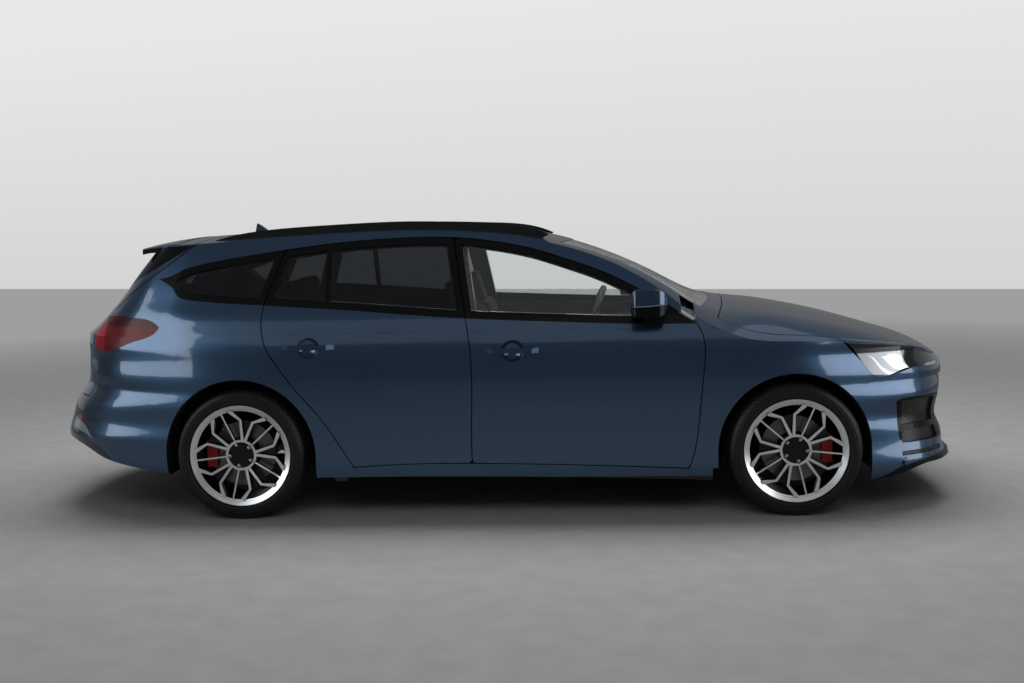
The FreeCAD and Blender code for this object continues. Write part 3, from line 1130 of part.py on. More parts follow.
def seat(hip_x, y, width, base_z, base_height):
    """One seat: a base, a cushion, a raked back and a head restraint, joined."""
    base = block(hip_x + SEAT_CORNER, hip_x + CUSHION_LENGTH - SEAT_CORNER, y - width / 2 + SEAT_CORNER,
                 y + width / 2 - SEAT_CORNER, base_z, base_z + base_height + SEAT_CORNER)
    cushion = padded(block(hip_x, hip_x + CUSHION_LENGTH, y - width / 2, y + width / 2, base_z + base_height,
                           base_z + base_height + CUSHION_HEIGHT), SEAT_CORNER)
    back = padded(block(-BACK_THICKNESS, 0, y - width / 2, y + width / 2, 0, BACK_HEIGHT), SEAT_CORNER)
    rest = padded(block(-BACK_THICKNESS, -SEAT_CORNER / 2, y - HEADREST_WIDTH / 2, y + HEADREST_WIDTH / 2,
                        BACK_HEIGHT - SEAT_CORNER / 2, BACK_HEIGHT + HEADREST_HEIGHT), SEAT_CORNER / 2)
    upper = back.fuse(rest)
    upper.rotate(V(0, 0, 0), V(0, 1, 0), -BACK_RAKE)
    upper.translate(V(hip_x + SEAT_CORNER, 0, base_z + base_height + CUSHION_HEIGHT / 3))
    return base.fuse(cushion).fuse(upper)


front_seat = seat(FRONT_SEAT_X, SEAT_Y, SEAT_WIDTH, FRONT_SEAT_Z, SEAT_BASE_HEIGHT)
REAR_SEAT_X = heel_x + SEAT_CORNER * 2
REAR_BENCH_WIDTH = 1140.0
rear_seat = largest(seat(REAR_SEAT_X, 0, REAR_BENCH_WIDTH, FRONT_SEAT_Z, SEAT_BASE_HEIGHT).cut(floor_pan))
DASH_DEPTH = 330.0
DASH_TOP_SHARE = 0.655
DASH_HEIGHT = 300.0
DASH_HALF = 730.0
dash = block(firewall_x - DASH_DEPTH, firewall_x, -DASH_HALF, DASH_HALF,
             height(DASH_TOP_SHARE) - DASH_HEIGHT,
             height(DASH_TOP_SHARE))
WHEEL_GRIP_RADIUS = 15.0
STEERING_RADIUS = 178.0
STEERING_X_SHARE = 0.640
STEERING_Z_SHARE = 0.640
COLUMN_RADIUS = 30.0
COLUMN_RAKE = 24.0
COLUMN_LENGTH = 350.0
steering_wheel = Part.makeTorus(STEERING_RADIUS, WHEEL_GRIP_RADIUS, V(0, 0, 0), V(1, 0, 0))
steering_wheel = steering_wheel.fuse(Part.makeCylinder(COLUMN_RADIUS * 2, COLUMN_RADIUS, V(0, 0, 0),
                                                       V(1, 0, 0)))
steering_wheel = steering_wheel.fuse(Part.makeCylinder(COLUMN_RADIUS, COLUMN_LENGTH, V(0, 0, 0), V(1, 0, 0)))
steering_wheel = steering_wheel.fuse(block(0, WHEEL_GRIP_RADIUS, -STEERING_RADIUS, STEERING_RADIUS,
                                           -WHEEL_GRIP_RADIUS, WHEEL_GRIP_RADIUS))
steering_wheel.rotate(V(0, 0, 0), V(0, 1, 0), COLUMN_RAKE)
steering_wheel.translate(V(station(STEERING_X_SHARE), SEAT_Y, height(STEERING_Z_SHARE)))
dashboard = dash.fuse(steering_wheel).common(CABIN_VOID)

# Output
save("side_frame_right", side_frame)
save("side_frame_left", mirrored(side_frame))
save("roof_panel", roof_panel)
save("roof_rails", roof_rail, mirrored(roof_rail))
save("floor_pan", floor_pan)
save("front_structure", front_structure)
save("front_fenders", fender, mirrored(fender))
save("front_bumper", front_bumper)
save("front_grille", grille)
save("rear_bumper", rear_bumper)
save("windscreen", windscreen)
save("quarter_glass", quarter_pane, mirrored(quarter_pane))
save("headlamps", headlamp, mirrored(headlamp))
save("tail_lamps", tail_lamp, mirrored(tail_lamp))
save("wheel_arch_liners", front_liner, rear_liner, mirrored(front_liner), mirrored(rear_liner))
save("cowl_panel", cowl)
save("engine_block", engine)
save("front_subframe", front_subframe)
save("rear_axle", rear_axle)
save("exhaust", exhaust)
save("dashboard", dashboard)
save("front_seats", front_seat, mirrored(front_seat))
save("rear_seat", rear_seat)
save("bonnet", bonnet)
save("tailgate", gate_panel)
save("tailgate_glass", rear_pane)
for hand, turn in (("right", lambda shape: shape), ("left", mirrored)):
    save("front_door_" + hand, turn(front_door))
    save("front_door_glass_" + hand, turn(front_pane))
    save("rear_door_" + hand, turn(rear_door))
    save("rear_door_glass_" + hand, *[turn(glass) for glass in rear_panes])
    save("door_mirror_" + hand, turn(mirror))
    save("front_knuckle_" + hand, turn(front_knuckle))
    save("front_rim_" + hand, turn(front_rim))
    save("front_tyre_" + hand, turn(front_tyre))
    save("rear_rim_" + hand, turn(rear_rim))
    save("rear_tyre_" + hand, turn(rear_tyre))
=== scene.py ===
import bpy
import bmesh
import math
from mathutils import Matrix, Vector


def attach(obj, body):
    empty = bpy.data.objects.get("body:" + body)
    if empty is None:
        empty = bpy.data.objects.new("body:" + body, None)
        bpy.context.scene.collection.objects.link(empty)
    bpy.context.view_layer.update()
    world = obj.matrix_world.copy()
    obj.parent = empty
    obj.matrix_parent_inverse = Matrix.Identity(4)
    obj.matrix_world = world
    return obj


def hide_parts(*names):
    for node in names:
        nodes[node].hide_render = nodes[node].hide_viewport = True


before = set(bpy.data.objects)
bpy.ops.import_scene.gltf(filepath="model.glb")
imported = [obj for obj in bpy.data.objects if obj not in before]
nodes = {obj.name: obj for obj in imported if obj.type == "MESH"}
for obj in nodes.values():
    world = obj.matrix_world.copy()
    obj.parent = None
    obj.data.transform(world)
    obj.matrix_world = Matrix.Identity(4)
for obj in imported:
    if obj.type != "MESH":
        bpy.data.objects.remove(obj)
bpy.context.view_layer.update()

# The body shell: pressed steel panels, welded, dipped and primed, then sprayed in a
# deep metallic blue under clear lacquer. Window frames, pillars and the tailgate's
# sides are sprayed gloss black, up to the lines below, given as X and height.
DEEP_BLUE = (0.037, 0.082, 0.156, 1)
FLAKE_BLUE = (0.060, 0.126, 0.228, 1)
GLOSS_BLACK = (0.005, 0.005, 0.006, 1)
LACQUER_ROUGHNESS = 0.06
PAINT_ROUGHNESS = 0.32
PAINT_METALLIC = 0.80
PAINT_SPECULAR = 0.12
FULL_COAT, DULL_COAT = 1.0, 0.12
FLAKE_SCALE = 1400
FLAKE_START, FLAKE_END = 0.45, 0.70
PEEL_SCALE = 70
PEEL_STRENGTH, PEEL_DEPTH = 0.06, 0.0006
CREASE_ANGLE = math.radians(24)
WELD_REACH = 0.00002
SILL_FOOT = 0.200
BELT_LINE = [(-1.70, 1.200), (-1.591, 1.144), (-1.528, 1.088), (-1.389, 1.071), (-1.116, 1.052),
             (-0.743, 1.026), (-0.448, 1.001), (-0.136, 0.977), (0.329, 0.954), (0.704, 0.939),
             (0.986, 0.936), (1.10, 0.936)]
HEADER_LINE = [(-1.70, 1.180), (-1.611, 1.199), (-1.529, 1.236), (-1.391, 1.268), (-1.208, 1.297),
               (-1.041, 1.320), (-0.762, 1.351), (-0.419, 1.370), (-0.190, 1.367), (0.038, 1.339),
               (0.232, 1.297), (0.378, 1.249), (0.525, 1.197), (0.711, 1.108), (0.860, 1.022), (0.986, 0.941),
               (1.10, 0.860)]
TAIL_TRIM_FOOT = [(-2.10, 1.030), (-2.00, 1.042), (-1.90, 1.120), (-1.64, 1.270), (-1.50, 1.354),
                  (-1.40, 1.420)]
TAIL_TRIM_TOP = [(-2.10, 1.285), (-1.92, 1.300), (-1.82, 1.328), (-1.60, 1.346), (-1.40, 1.350)]


def plain(name, colour, roughness, metallic=0.0, coat=0.0, specular=0.5):
    """A finish with the same colour and gloss all over."""
    material = bpy.data.materials.new(name)
    material.use_nodes = True
    shader = material.node_tree.nodes["Principled BSDF"]
    shader.inputs["Base Color"].default_value = colour
    shader.inputs["Roughness"].default_value = roughness
    shader.inputs["Metallic"].default_value = metallic
    shader.inputs["Coat Weight"].default_value = coat
    shader.inputs["Coat Roughness"].default_value = LACQUER_ROUGHNESS
    shader.inputs["Specular IOR Level"].default_value = specular
    return material


def drive(material, name, socket):
    """Links a socket to one of the shader's inputs."""
    tree = material.node_tree
    tree.links.new(socket, tree.nodes["Principled BSDF"].inputs[name])


def coordinates(tree, kind="Object"):
    """Object coordinates, or the surface's normal in them."""
    return tree.nodes.new("ShaderNodeTexCoord").outputs[kind]


def axes(tree, kind="Object"):
    """X, Y and Z of the coordinates."""
    split = tree.nodes.new("ShaderNodeSeparateXYZ")
    tree.links.new(coordinates(tree, kind), split.inputs[0])
    return split.outputs


def maths(tree, operation, first, second=None):
    """Math node; each input is a socket or a number."""
    node = tree.nodes.new("ShaderNodeMath")
    node.operation = operation
    for socket, value in zip(node.inputs, (first, second)):
        if isinstance(value, (int, float)):
            socket.default_value = value
        elif value is not None:
            tree.links.new(value, socket)
    return node.outputs[0]


def more_than(tree, value, limit):
    """1 where the value is above the limit."""
    return maths(tree, "GREATER_THAN", value, limit)


def less_than(tree, value, limit):
    """1 where the value is below the limit."""
    return maths(tree, "LESS_THAN", value, limit)


def both(tree, first, *others):
    """1 where all masks are 1."""
    for other in others:
        first = maths(tree, "MULTIPLY", first, other)
    return first


def opposite(tree, mask):
    """1 where the mask is 0."""
    return maths(tree, "SUBTRACT", 1.0, mask)


def ranged(tree, value, start, end, low, high):
    """Map Range node from start..end to low..high."""
    node = tree.nodes.new("ShaderNodeMapRange")
    for name, number in (("From Min", start), ("From Max", end), ("To Min", low), ("To Max", high)):
        node.inputs[name].default_value = number
    tree.links.new(value, node.inputs["Value"])
    return node.outputs["Result"]


def line_height(tree, x, line):
    """Height of a line along the body's side, as a curve over X."""
    start, end = line[0][0], line[-1][0]
    low, high = min(height for along, height in line), max(height for along, height in line)
    spots = [((along - start) / (end - start), (height - low) / (high - low)) for along, height in line]
    curve = tree.nodes.new("ShaderNodeFloatCurve")
    points = curve.mapping.curves[0].points
    points[0].location, points[1].location = spots[0], spots[-1]
    for spot in spots[1:-1]:
        points.new(*spot)
    curve.mapping.update()
    tree.links.new(ranged(tree, x, start, end, 0, 1), curve.inputs["Value"])
    return ranged(tree, curve.outputs["Value"], 0, 1, low, high)


def between(tree, low_line, high_line=None):
    """1 above the low line, and below the high one where it is given."""
    x, y, z = axes(tree)
    mask = more_than(tree, z, line_height(tree, x, low_line))
    if high_line:
        mask = both(tree, mask, less_than(tree, z, line_height(tree, x, high_line)))
    return mask


def mixed(tree, mask, first, second):
    """Colour mixed by a mask; each colour is a socket or four numbers."""
    node = tree.nodes.new("ShaderNodeMix")
    node.data_type = "RGBA"
    for name, value in (("A", first), ("B", second)):
        if isinstance(value, tuple):
            node.inputs[name].default_value = value
        else:
            tree.links.new(value, node.inputs[name])
    tree.links.new(mask, node.inputs["Factor"])
    return node.outputs["Result"]


def coloured(material, mask, colour):
    """Lays a colour over what the finish has, where the mask is 1."""
    base = material.node_tree.nodes["Principled BSDF"].inputs["Base Color"]
    below = base.links[0].from_socket if base.is_linked else tuple(base.default_value)
    drive(material, "Base Color", mixed(material.node_tree, mask, below, colour))


def noise(tree, scale, detail=2.0):
    """Noise on Object coordinates."""
    node = tree.nodes.new("ShaderNodeTexNoise")
    node.inputs["Scale"].default_value = scale
    node.inputs["Detail"].default_value = detail
    tree.links.new(coordinates(tree), node.inputs["Vector"])
    return node.outputs["Fac"]


def bumped(material, height, strength, distance, socket="Normal"):
    """Bump from a height into the shader."""
    tree = material.node_tree
    node = tree.nodes.new("ShaderNodeBump")
    node.inputs["Strength"].default_value = strength
    node.inputs["Distance"].default_value = distance
    tree.links.new(height, node.inputs["Height"])
    drive(material, socket, node.outputs["Normal"])


def blackened(material, mask):
    """Gloss black with no flakes and little lacquer, where the mask is 1."""
    tree = material.node_tree
    coloured(material, mask, GLOSS_BLACK)
    drive(material, "Metallic", ranged(tree, mask, 0, 1, PAINT_METALLIC, 0))
    drive(material, "Coat Weight", ranged(tree, mask, 0, 1, FULL_COAT, DULL_COAT))


def paint(name, black_band=()):
    """Metallic paint with flakes and a little orange peel, black inside a band of lines."""
    material = plain(name, DEEP_BLUE, PAINT_ROUGHNESS, PAINT_METALLIC, FULL_COAT, PAINT_SPECULAR)
    tree = material.node_tree
    coloured(material, ranged(tree, noise(tree, FLAKE_SCALE, 0), FLAKE_START, FLAKE_END, 0, 1), FLAKE_BLUE)
    bumped(material, noise(tree, PEEL_SCALE, 1), PEEL_STRENGTH, PEEL_DEPTH, "Coat Normal")
    if black_band:
        blackened(material, between(tree, *black_band))
    return material


def dressed(name, material):
    """Shows a CAD node with a finish, its triangles welded and smooth up to a crease."""
    node = nodes[name]
    node.data.materials.clear()
    node.data.materials.append(material)
    for face in node.data.polygons:
        face.material_index = 0
        face.use_smooth = True
    weld = node.modifiers.new("weld", "WELD")
    weld.merge_threshold = WELD_REACH
    crease = node.modifiers.new("crease", "EDGE_SPLIT")
    crease.split_angle = CREASE_ANGLE


body_paint = paint("body_paint")
framed_paint = paint("framed_paint", (BELT_LINE,))
banded_paint = paint("banded_paint", (BELT_LINE, HEADER_LINE))
tail_paint = paint("tail_paint", (TAIL_TRIM_FOOT, TAIL_TRIM_TOP))
tree = banded_paint.node_tree
x, y, z = axes(tree)
# Below SILL_FOOT the side frames' colour turns black, with the paint's metal and lacquer kept: painted shade
# along the sill's underside.
coloured(banded_paint, less_than(tree, z, SILL_FOOT), GLOSS_BLACK)
for name in ("roof_panel", "front_fenders", "bonnet"):
    dressed(name, body_paint)
dressed("tailgate", tail_paint)
for hand in ("right", "left"):
    dressed("side_frame_" + hand, banded_paint)
    dressed("front_door_" + hand, framed_paint)
    dressed("rear_door_" + hand, framed_paint)

# The mirrors: a painted cap over a black housing, moulded in halves and clipped
# together with a thin bright strip between them, and screwed to the doors.
MIRROR_CAP_FOOT = [(0.60, 1.034), (0.70, 1.030), (0.80, 1.036), (0.90, 1.046)]
STRIP_HEIGHT = 0.005
STRIP_GREY = (0.30, 0.33, 0.36, 1)
mirror_paint = paint("mirror_paint")
tree = mirror_paint.node_tree
cap = between(tree, MIRROR_CAP_FOOT)
strip = maths(tree, "SUBTRACT", between(tree, [(x, z - STRIP_HEIGHT) for x, z in MIRROR_CAP_FOOT]), cap)
blackened(mirror_paint, opposite(tree, cap))
coloured(mirror_paint, strip, STRIP_GREY)
for hand in ("right", "left"):
    dressed("door_mirror_" + hand, mirror_paint)

# The front bumper: a moulded plastic skin in body colour, clipped to the fenders,
# black inside its inlets and along the apron at its foot.
INLET_FOOT = [(1.92, 0.620), (1.955, 0.520), (1.975, 0.350), (2.02, 0.328), (2.36, 0.328)]
INLET_TOP = [(1.92, 0.520), (1.955, 0.535), (2.00, 0.548), (2.36, 0.550)]
FRONT_APRON_TOP = [(1.70, 0.150), (1.85, 0.165), (2.00, 0.222), (2.15, 0.246), (2.36, 0.246)]
front_paint = paint("front_bumper_paint")
tree = front_paint.node_tree
inlets = between(tree, INLET_FOOT, INLET_TOP)
skin = both(tree, between(tree, FRONT_APRON_TOP), opposite(tree, inlets))
blackened(front_paint, opposite(tree, skin))
dressed("front_bumper", front_paint)

# The rear bumper: a moulded plastic skin in body colour, a darker blue painted along its foot as painted
# shade. Each corner carries a red reflector over a bright blade, both clipped in.
CORNER_Y = 0.560
REFLECTOR_FOOT = [(-2.300, 0.480), (-2.190, 0.470), (-2.120, 0.452), (-2.075, 0.424), (-2.040, 0.395)]
REFLECTOR_TOP = [(-2.300, 0.520), (-2.190, 0.505), (-2.130, 0.492), (-2.075, 0.430), (-2.040, 0.380)]
BLADE_FOOT = [(-2.300, 0.430), (-2.190, 0.422), (-2.120, 0.410), (-2.050, 0.385), (-2.020, 0.372)]
BLADE_TOP = [(-2.300, 0.480), (-2.190, 0.470), (-2.120, 0.452), (-2.060, 0.398), (-2.020, 0.350)]
REAR_SHADE_TOP = [(-2.300, 0.420), (-2.180, 0.405), (-2.050, 0.365), (-1.98, 0.330), (-1.90, 0.240),
                  (-1.80, 0.200), (-1.60, 0.190)]
APRON_SHADE_BLUE = (0.010, 0.018, 0.034, 1)
BLADE_SILVER = (0.60, 0.66, 0.72, 1)
REFLECTOR_RED = (0.20, 0.006, 0.010, 1)
rear_paint = paint("rear_bumper_paint")
tree = rear_paint.node_tree
x, y, z = axes(tree)
at_corner = more_than(tree, maths(tree, "ABSOLUTE", y), CORNER_Y)
# Below this line the paint turns a darker blue: painted shade along the bumper's foot.
coloured(rear_paint, opposite(tree, between(tree, REAR_SHADE_TOP)), APRON_SHADE_BLUE)
coloured(rear_paint, both(tree, between(tree, BLADE_FOOT, BLADE_TOP), at_corner), BLADE_SILVER)
coloured(rear_paint, both(tree, between(tree, REFLECTOR_FOOT, REFLECTOR_TOP), at_corner), REFLECTOR_RED)
dressed("rear_bumper", rear_paint)

# Floor pan, front structure, engine block and exhaust: pressed and cast steel in
# dull black, welded or bolted, the exhaust bare. They show only from below.
GRAIN_STRENGTH = 0.5
GRAINS_PER_PATCH = 40
PATCH_START, PATCH_END = 0.3, 0.7
GLOSS_DRIFT = 0.08
CAST_GREY = (0.05, 0.05, 0.052, 1)


def grained(name, colour, roughness, scale, depth, metallic=0.0, coat=0.0):
    """Plastic, cloth or casting: fine grain, and gloss that drifts a little in patches."""
    material = plain(name, colour, roughness, metallic, coat)
    tree = material.node_tree
    bumped(material, noise(tree, scale), GRAIN_STRENGTH, depth)
    dull, glossy = roughness + GLOSS_DRIFT, roughness - GLOSS_DRIFT
    patches = noise(tree, scale / GRAINS_PER_PATCH)
    drive(material, "Roughness", ranged(tree, patches, PATCH_START, PATCH_END, glossy, dull))
    return material


primer = grained("black_primer", (0.018, 0.018, 0.020, 1), roughness=0.75, scale=300, depth=0.0004)
cast = grained("cast_metal", CAST_GREY, roughness=0.55, scale=400, depth=0.0004, metallic=0.6)
steel = grained("exhaust_steel", (0.30, 0.29, 0.28, 1), roughness=0.35, scale=120, depth=0.0003, metallic=0.9)
for name in ("floor_pan", "front_structure"):
    dressed(name, primer)
for name in ("engine_block", "front_subframe"):
    dressed(name, cast)
dressed("exhaust", steel)

# Hubs, knuckles and calipers: cast iron, machined and bolted together. The calipers
# are sprayed red, ahead of the front hubs and behind the rear ones.
WHEELS = {"front": (1.456, 0.786), "rear": (-1.244, 0.778)}
WHEEL_RADIUS = 0.320
CALIPER_RED = (0.42, 0.012, 0.012, 1)
CALIPER_REACH = 0.125
CALIPER_HALF_HEIGHT = 0.085
CALIPER_INNER_Y = 0.700
caliper_metal = grained("caliper_metal", CAST_GREY, roughness=0.50, scale=400, depth=0.0004, metallic=0.2)
tree = caliper_metal.node_tree
x, y, z = axes(tree)
outboard = more_than(tree, maths(tree, "ABSOLUTE", y), CALIPER_INNER_Y)
axle_gap = maths(tree, "ABSOLUTE", maths(tree, "SUBTRACT", z, WHEEL_RADIUS))
at_axle = less_than(tree, axle_gap, CALIPER_HALF_HEIGHT)
ahead = more_than(tree, x, WHEELS["front"][0] + CALIPER_REACH)
behind = less_than(tree, x, WHEELS["rear"][0] - CALIPER_REACH)
coloured(caliper_metal, both(tree, outboard, at_axle, maths(tree, "ADD", ahead, behind)), CALIPER_RED)
for name in ("rear_axle", "front_knuckle_right", "front_knuckle_left"):
    dressed(name, caliper_metal)

# Black plastics: grained arch liners and cowl and glossier roof rails, moulded and
# clipped on. The inlet panels are honeycomb meshes, moulded in gloss black.
CELL_SCALE = 55
CELL_RANDOMNESS = 0.25
WEB_INNER, WEB_OUTER = 0.10, 0.18
WEB_HEIGHT = 0.004
liner_plastic = grained("liner_plastic", (0.006, 0.006, 0.006, 1), roughness=0.85, scale=500, depth=0.0005)
cowl_plastic = grained("cowl_plastic", (0.012, 0.012, 0.013, 1), roughness=0.55, scale=700, depth=0.0004)
gloss_trim = grained("gloss_trim", GLOSS_BLACK, roughness=0.16, scale=200, depth=0.00005, coat=0.4)
dressed("wheel_arch_liners", liner_plastic)
dressed("cowl_panel", cowl_plastic)
dressed("roof_rails", gloss_trim)
# The mesh keeps a near-black colour in its cells: painted shade for the dark behind the openings. The webs
# between the cells get a lighter black and a raised bump.
mesh_plastic = grained("mesh_plastic", (0.0008, 0.0008, 0.0008, 1), roughness=0.30, scale=300, depth=0.0002)
tree = mesh_plastic.node_tree
cells = tree.nodes.new("ShaderNodeTexVoronoi")
cells.feature = "DISTANCE_TO_EDGE"
cells.inputs["Scale"].default_value = CELL_SCALE
cells.inputs["Randomness"].default_value = CELL_RANDOMNESS
tree.links.new(coordinates(tree), cells.inputs["Vector"])
web = ranged(tree, cells.outputs["Distance"], WEB_INNER, WEB_OUTER, 1, 0)
coloured(mesh_plastic, web, (0.012, 0.012, 0.013, 1))
bumped(mesh_plastic, web, 1.0, WEB_HEIGHT)
dressed("front_grille", mesh_plastic)

# Cabin: foam seats in sewn cloth and a soft moulded dashboard, bolted to the floor
# and the cross beam, and seen through the glass.
cloth = grained("seat_cloth", (0.020, 0.020, 0.022, 1), roughness=0.85, scale=900, depth=0.0006)
soft_plastic = grained("soft_plastic", (0.014, 0.014, 0.015, 1), roughness=0.6, scale=600, depth=0.0004)
for name in ("front_seats", "rear_seat"):
    dressed(name, cloth)
dressed("dashboard", soft_plastic)

# Glass: laminated screen and toughened panes, near clear ahead of the centre pillar
# and privacy dark behind it, bonded flush in their openings.
GLASS_IOR = 1.40


def tinted(name, colour):
    """Tinted glass that light passes through."""
    material = plain(name, colour, 0.0)
    shader = material.node_tree.nodes["Principled BSDF"]
    shader.inputs["Transmission Weight"].default_value = 1.0
    shader.inputs["IOR"].default_value = GLASS_IOR
    return material


clear_glass = tinted("clear_glass", (0.86, 0.90, 0.87, 1))
front_glass = tinted("front_glass", (0.93, 0.96, 0.95, 1))
privacy_glass = tinted("privacy_glass", (0.16, 0.17, 0.18, 1))
dressed("windscreen", clear_glass)
for name in ("quarter_glass", "tailgate_glass", "rear_door_glass_right", "rear_door_glass_left"):
    dressed(name, privacy_glass)
for name in ("front_door_glass_right", "front_door_glass_left"):
    dressed(name, front_glass)

# Headlamps: a clear moulded cover bonded over a silver reflector, a bright patch, a
# light guide along its foot and a dark projector bay towards the nose.
SILVER_START, SILVER_END = 1.74, 1.95
BRIGHT_FOOT = [(1.860, 0.760), (1.880, 0.752), (1.947, 0.696), (2.033, 0.675), (2.050, 0.760)]
BRIGHT_TOP = [(1.860, 0.758), (1.880, 0.754), (1.933, 0.764), (1.990, 0.752), (2.033, 0.690), (2.050, 0.700)]
GUIDE_FOOT = [(1.800, 0.770), (1.827, 0.752), (1.894, 0.678), (1.947, 0.656), (2.040, 0.664), (2.100, 0.676),
              (2.140, 0.690)]
GUIDE_TOP = [(1.800, 0.768), (1.827, 0.758), (1.894, 0.698), (1.947, 0.678), (2.040, 0.678), (2.100, 0.688),
             (2.140, 0.702)]
DARK_FOOT = [(1.985, 0.800), (1.995, 0.755), (2.040, 0.690), (2.100, 0.690), (2.180, 0.700)]
lamp_glass = plain("lamp_glass", (0.045, 0.050, 0.055, 1), roughness=0.12, metallic=0.3, coat=1.0)
tree = lamp_glass.node_tree
x, y, z = axes(tree)
coloured(lamp_glass, ranged(tree, x, SILVER_START, SILVER_END, 0, 1), (0.42, 0.45, 0.48, 1))
coloured(lamp_glass, between(tree, DARK_FOOT), (0.008, 0.008, 0.009, 1))
coloured(lamp_glass, between(tree, BRIGHT_FOOT, BRIGHT_TOP), (0.80, 0.84, 0.88, 1))
coloured(lamp_glass, between(tree, GUIDE_FOOT, GUIDE_TOP), (0.72, 0.76, 0.80, 1))
dressed("headlamps", lamp_glass)

# Tail lamps: moulded red covers welded to their housings, darker over the upper
# third and brighter along the rear edge.
LAMP_BREAK = [(-2.02, 0.955), (-1.90, 0.958), (-1.78, 0.957), (-1.62, 0.955)]
REAR_EDGE_X = -1.958
red_lens = plain("red_lens", (0.235, 0.020, 0.026, 1), roughness=0.30, coat=0.10, specular=0.25)
tree = red_lens.node_tree
x, y, z = axes(tree)
coloured(red_lens, between(tree, LAMP_BREAK), (0.090, 0.007, 0.012, 1))
coloured(red_lens, less_than(tree, x, REAR_EDGE_X), (0.60, 0.030, 0.040, 1))
dressed("tail_lamps", red_lens)

# Wheels: cast aluminium, sprayed gloss black and then turned bright on the spoke
# faces and the rim's lip. The steel brake disc shows between the spokes.
TURNED_FACING = 0.80
SPOKE_RADII = (0.076, 0.174)
SPOKE_FACES = (0.0835, 0.094)
HUB_EDGE = 0.064
LIP_RADIUS, LIP_OUT = 0.2395, 0.104
DISC_FACE = 0.040
DISC_INNER, DISC_OUTER = 0.085, 0.165
TURNED_SILVER = (0.82, 0.83, 0.85, 1)
DISC_GREY = (0.16, 0.155, 0.15, 1)
BARE_METALLIC = 0.60
TOOL_MARKS = 9000
TOOL_STRENGTH, TOOL_DEPTH = 0.12, 0.0002


def from_axle(tree, centre_x):
    """Gap across and gap above the axle, and the whole distance squared, seen from the side."""
    x, y, z = axes(tree)
    across = maths(tree, "SUBTRACT", x, centre_x)
    above = maths(tree, "SUBTRACT", z, WHEEL_RADIUS)
    squares = [maths(tree, "MULTIPLY", gap, gap) for gap in (across, above)]
    return across, above, maths(tree, "ADD", *squares)


def wheel_finish(name, centre_x, centre_y):
    """Bright where the surface faces outward at the outer face or on the lip, else gloss black."""
    material = plain(name, GLOSS_BLACK, roughness=0.26, specular=0.3)
    tree = material.node_tree
    x, y, z = axes(tree)
    out = maths(tree, "SUBTRACT", maths(tree, "ABSOLUTE", y), centre_y)
    flat = more_than(tree, maths(tree, "ABSOLUTE", axes(tree, "Normal")["Y"]), TURNED_FACING)
    across, above, squares = from_axle(tree, centre_x)
    radius = maths(tree, "SQRT", squares)
    on_spoke = more_than(tree, out, ranged(tree, radius, *SPOKE_RADII, *SPOKE_FACES))
    spokes = both(tree, flat, on_spoke, more_than(tree, radius, HUB_EDGE))
    lip = both(tree, more_than(tree, radius, LIP_RADIUS), more_than(tree, out, LIP_OUT))
    bright = maths(tree, "MAXIMUM", spokes, lip)
    on_disc = both(tree, less_than(tree, radius, DISC_OUTER), more_than(tree, radius, DISC_INNER))
    disc = both(tree, less_than(tree, out, DISC_FACE), on_disc)
    coloured(material, bright, TURNED_SILVER)
    coloured(material, disc, DISC_GREY)
    drive(material, "Metallic", ranged(tree, maths(tree, "MAXIMUM", bright, disc), 0, 1, 0, BARE_METALLIC))
    marks = maths(tree, "SINE", maths(tree, "MULTIPLY", radius, TOOL_MARKS))
    bumped(material, both(tree, marks, bright), TOOL_STRENGTH, TOOL_DEPTH)
    return material


for end, (centre_x, centre_y) in WHEELS.items():
    alloy = wheel_finish(end + "_alloy", centre_x, centre_y)
    for hand in ("right", "left"):
        dressed(end + "_rim_" + hand, alloy)

# Tyres: low road tyres of moulded rubber over steel cords, with ringed side walls
# and four grooves round the tread, pressed on the rims' beads. Each replaces the
# plain tyre of the same size. Profile points are radius and distance outward.
INNER_BEAD = [(0.2292, 0.0980), (0.2292, 0.1060), (0.2400, 0.1072)]
SIDE_WALL = [(0.2492, 0.1075), (0.2535, 0.1092), (0.2560, 0.1132), (0.2600, 0.1148), (0.2660, 0.1152),
             (0.2675, 0.1166), (0.2830, 0.1172), (0.2845, 0.1160), (0.2930, 0.1156), (0.2945, 0.1140),
             (0.3020, 0.1110), (0.3085, 0.1065), (0.3140, 0.1000), (0.3172, 0.0920), (0.3186, 0.0840)]
CROWN_RADIUS = 0.3195
SHOULDER_DROP, SHOULDER_OUT = 0.0006, 0.076
GROOVES = (0.062, 0.022)
GROOVE_HALF_WIDTH = 0.0045
GROOVE_FLOOR_SHARE = 0.7
GROOVE_DEPTH = 0.007
TYRE_STEPS = 128
TREAD_FOOT = 0.2960
SIDE_RINGS = ((0.2625, 0.2650), (0.2836, 0.2856))
CUTS_ROUND = 62
CUT_SLANT = 9.0
CUT_START, CUT_END = 0.40, 0.60
RUBBER_SCALE, RUBBER_SHARE = 700, 0.06
RUBBER_STRENGTH, RUBBER_DEPTH = 0.8, 0.004
SMOOTH_ANGLE = math.radians(35)


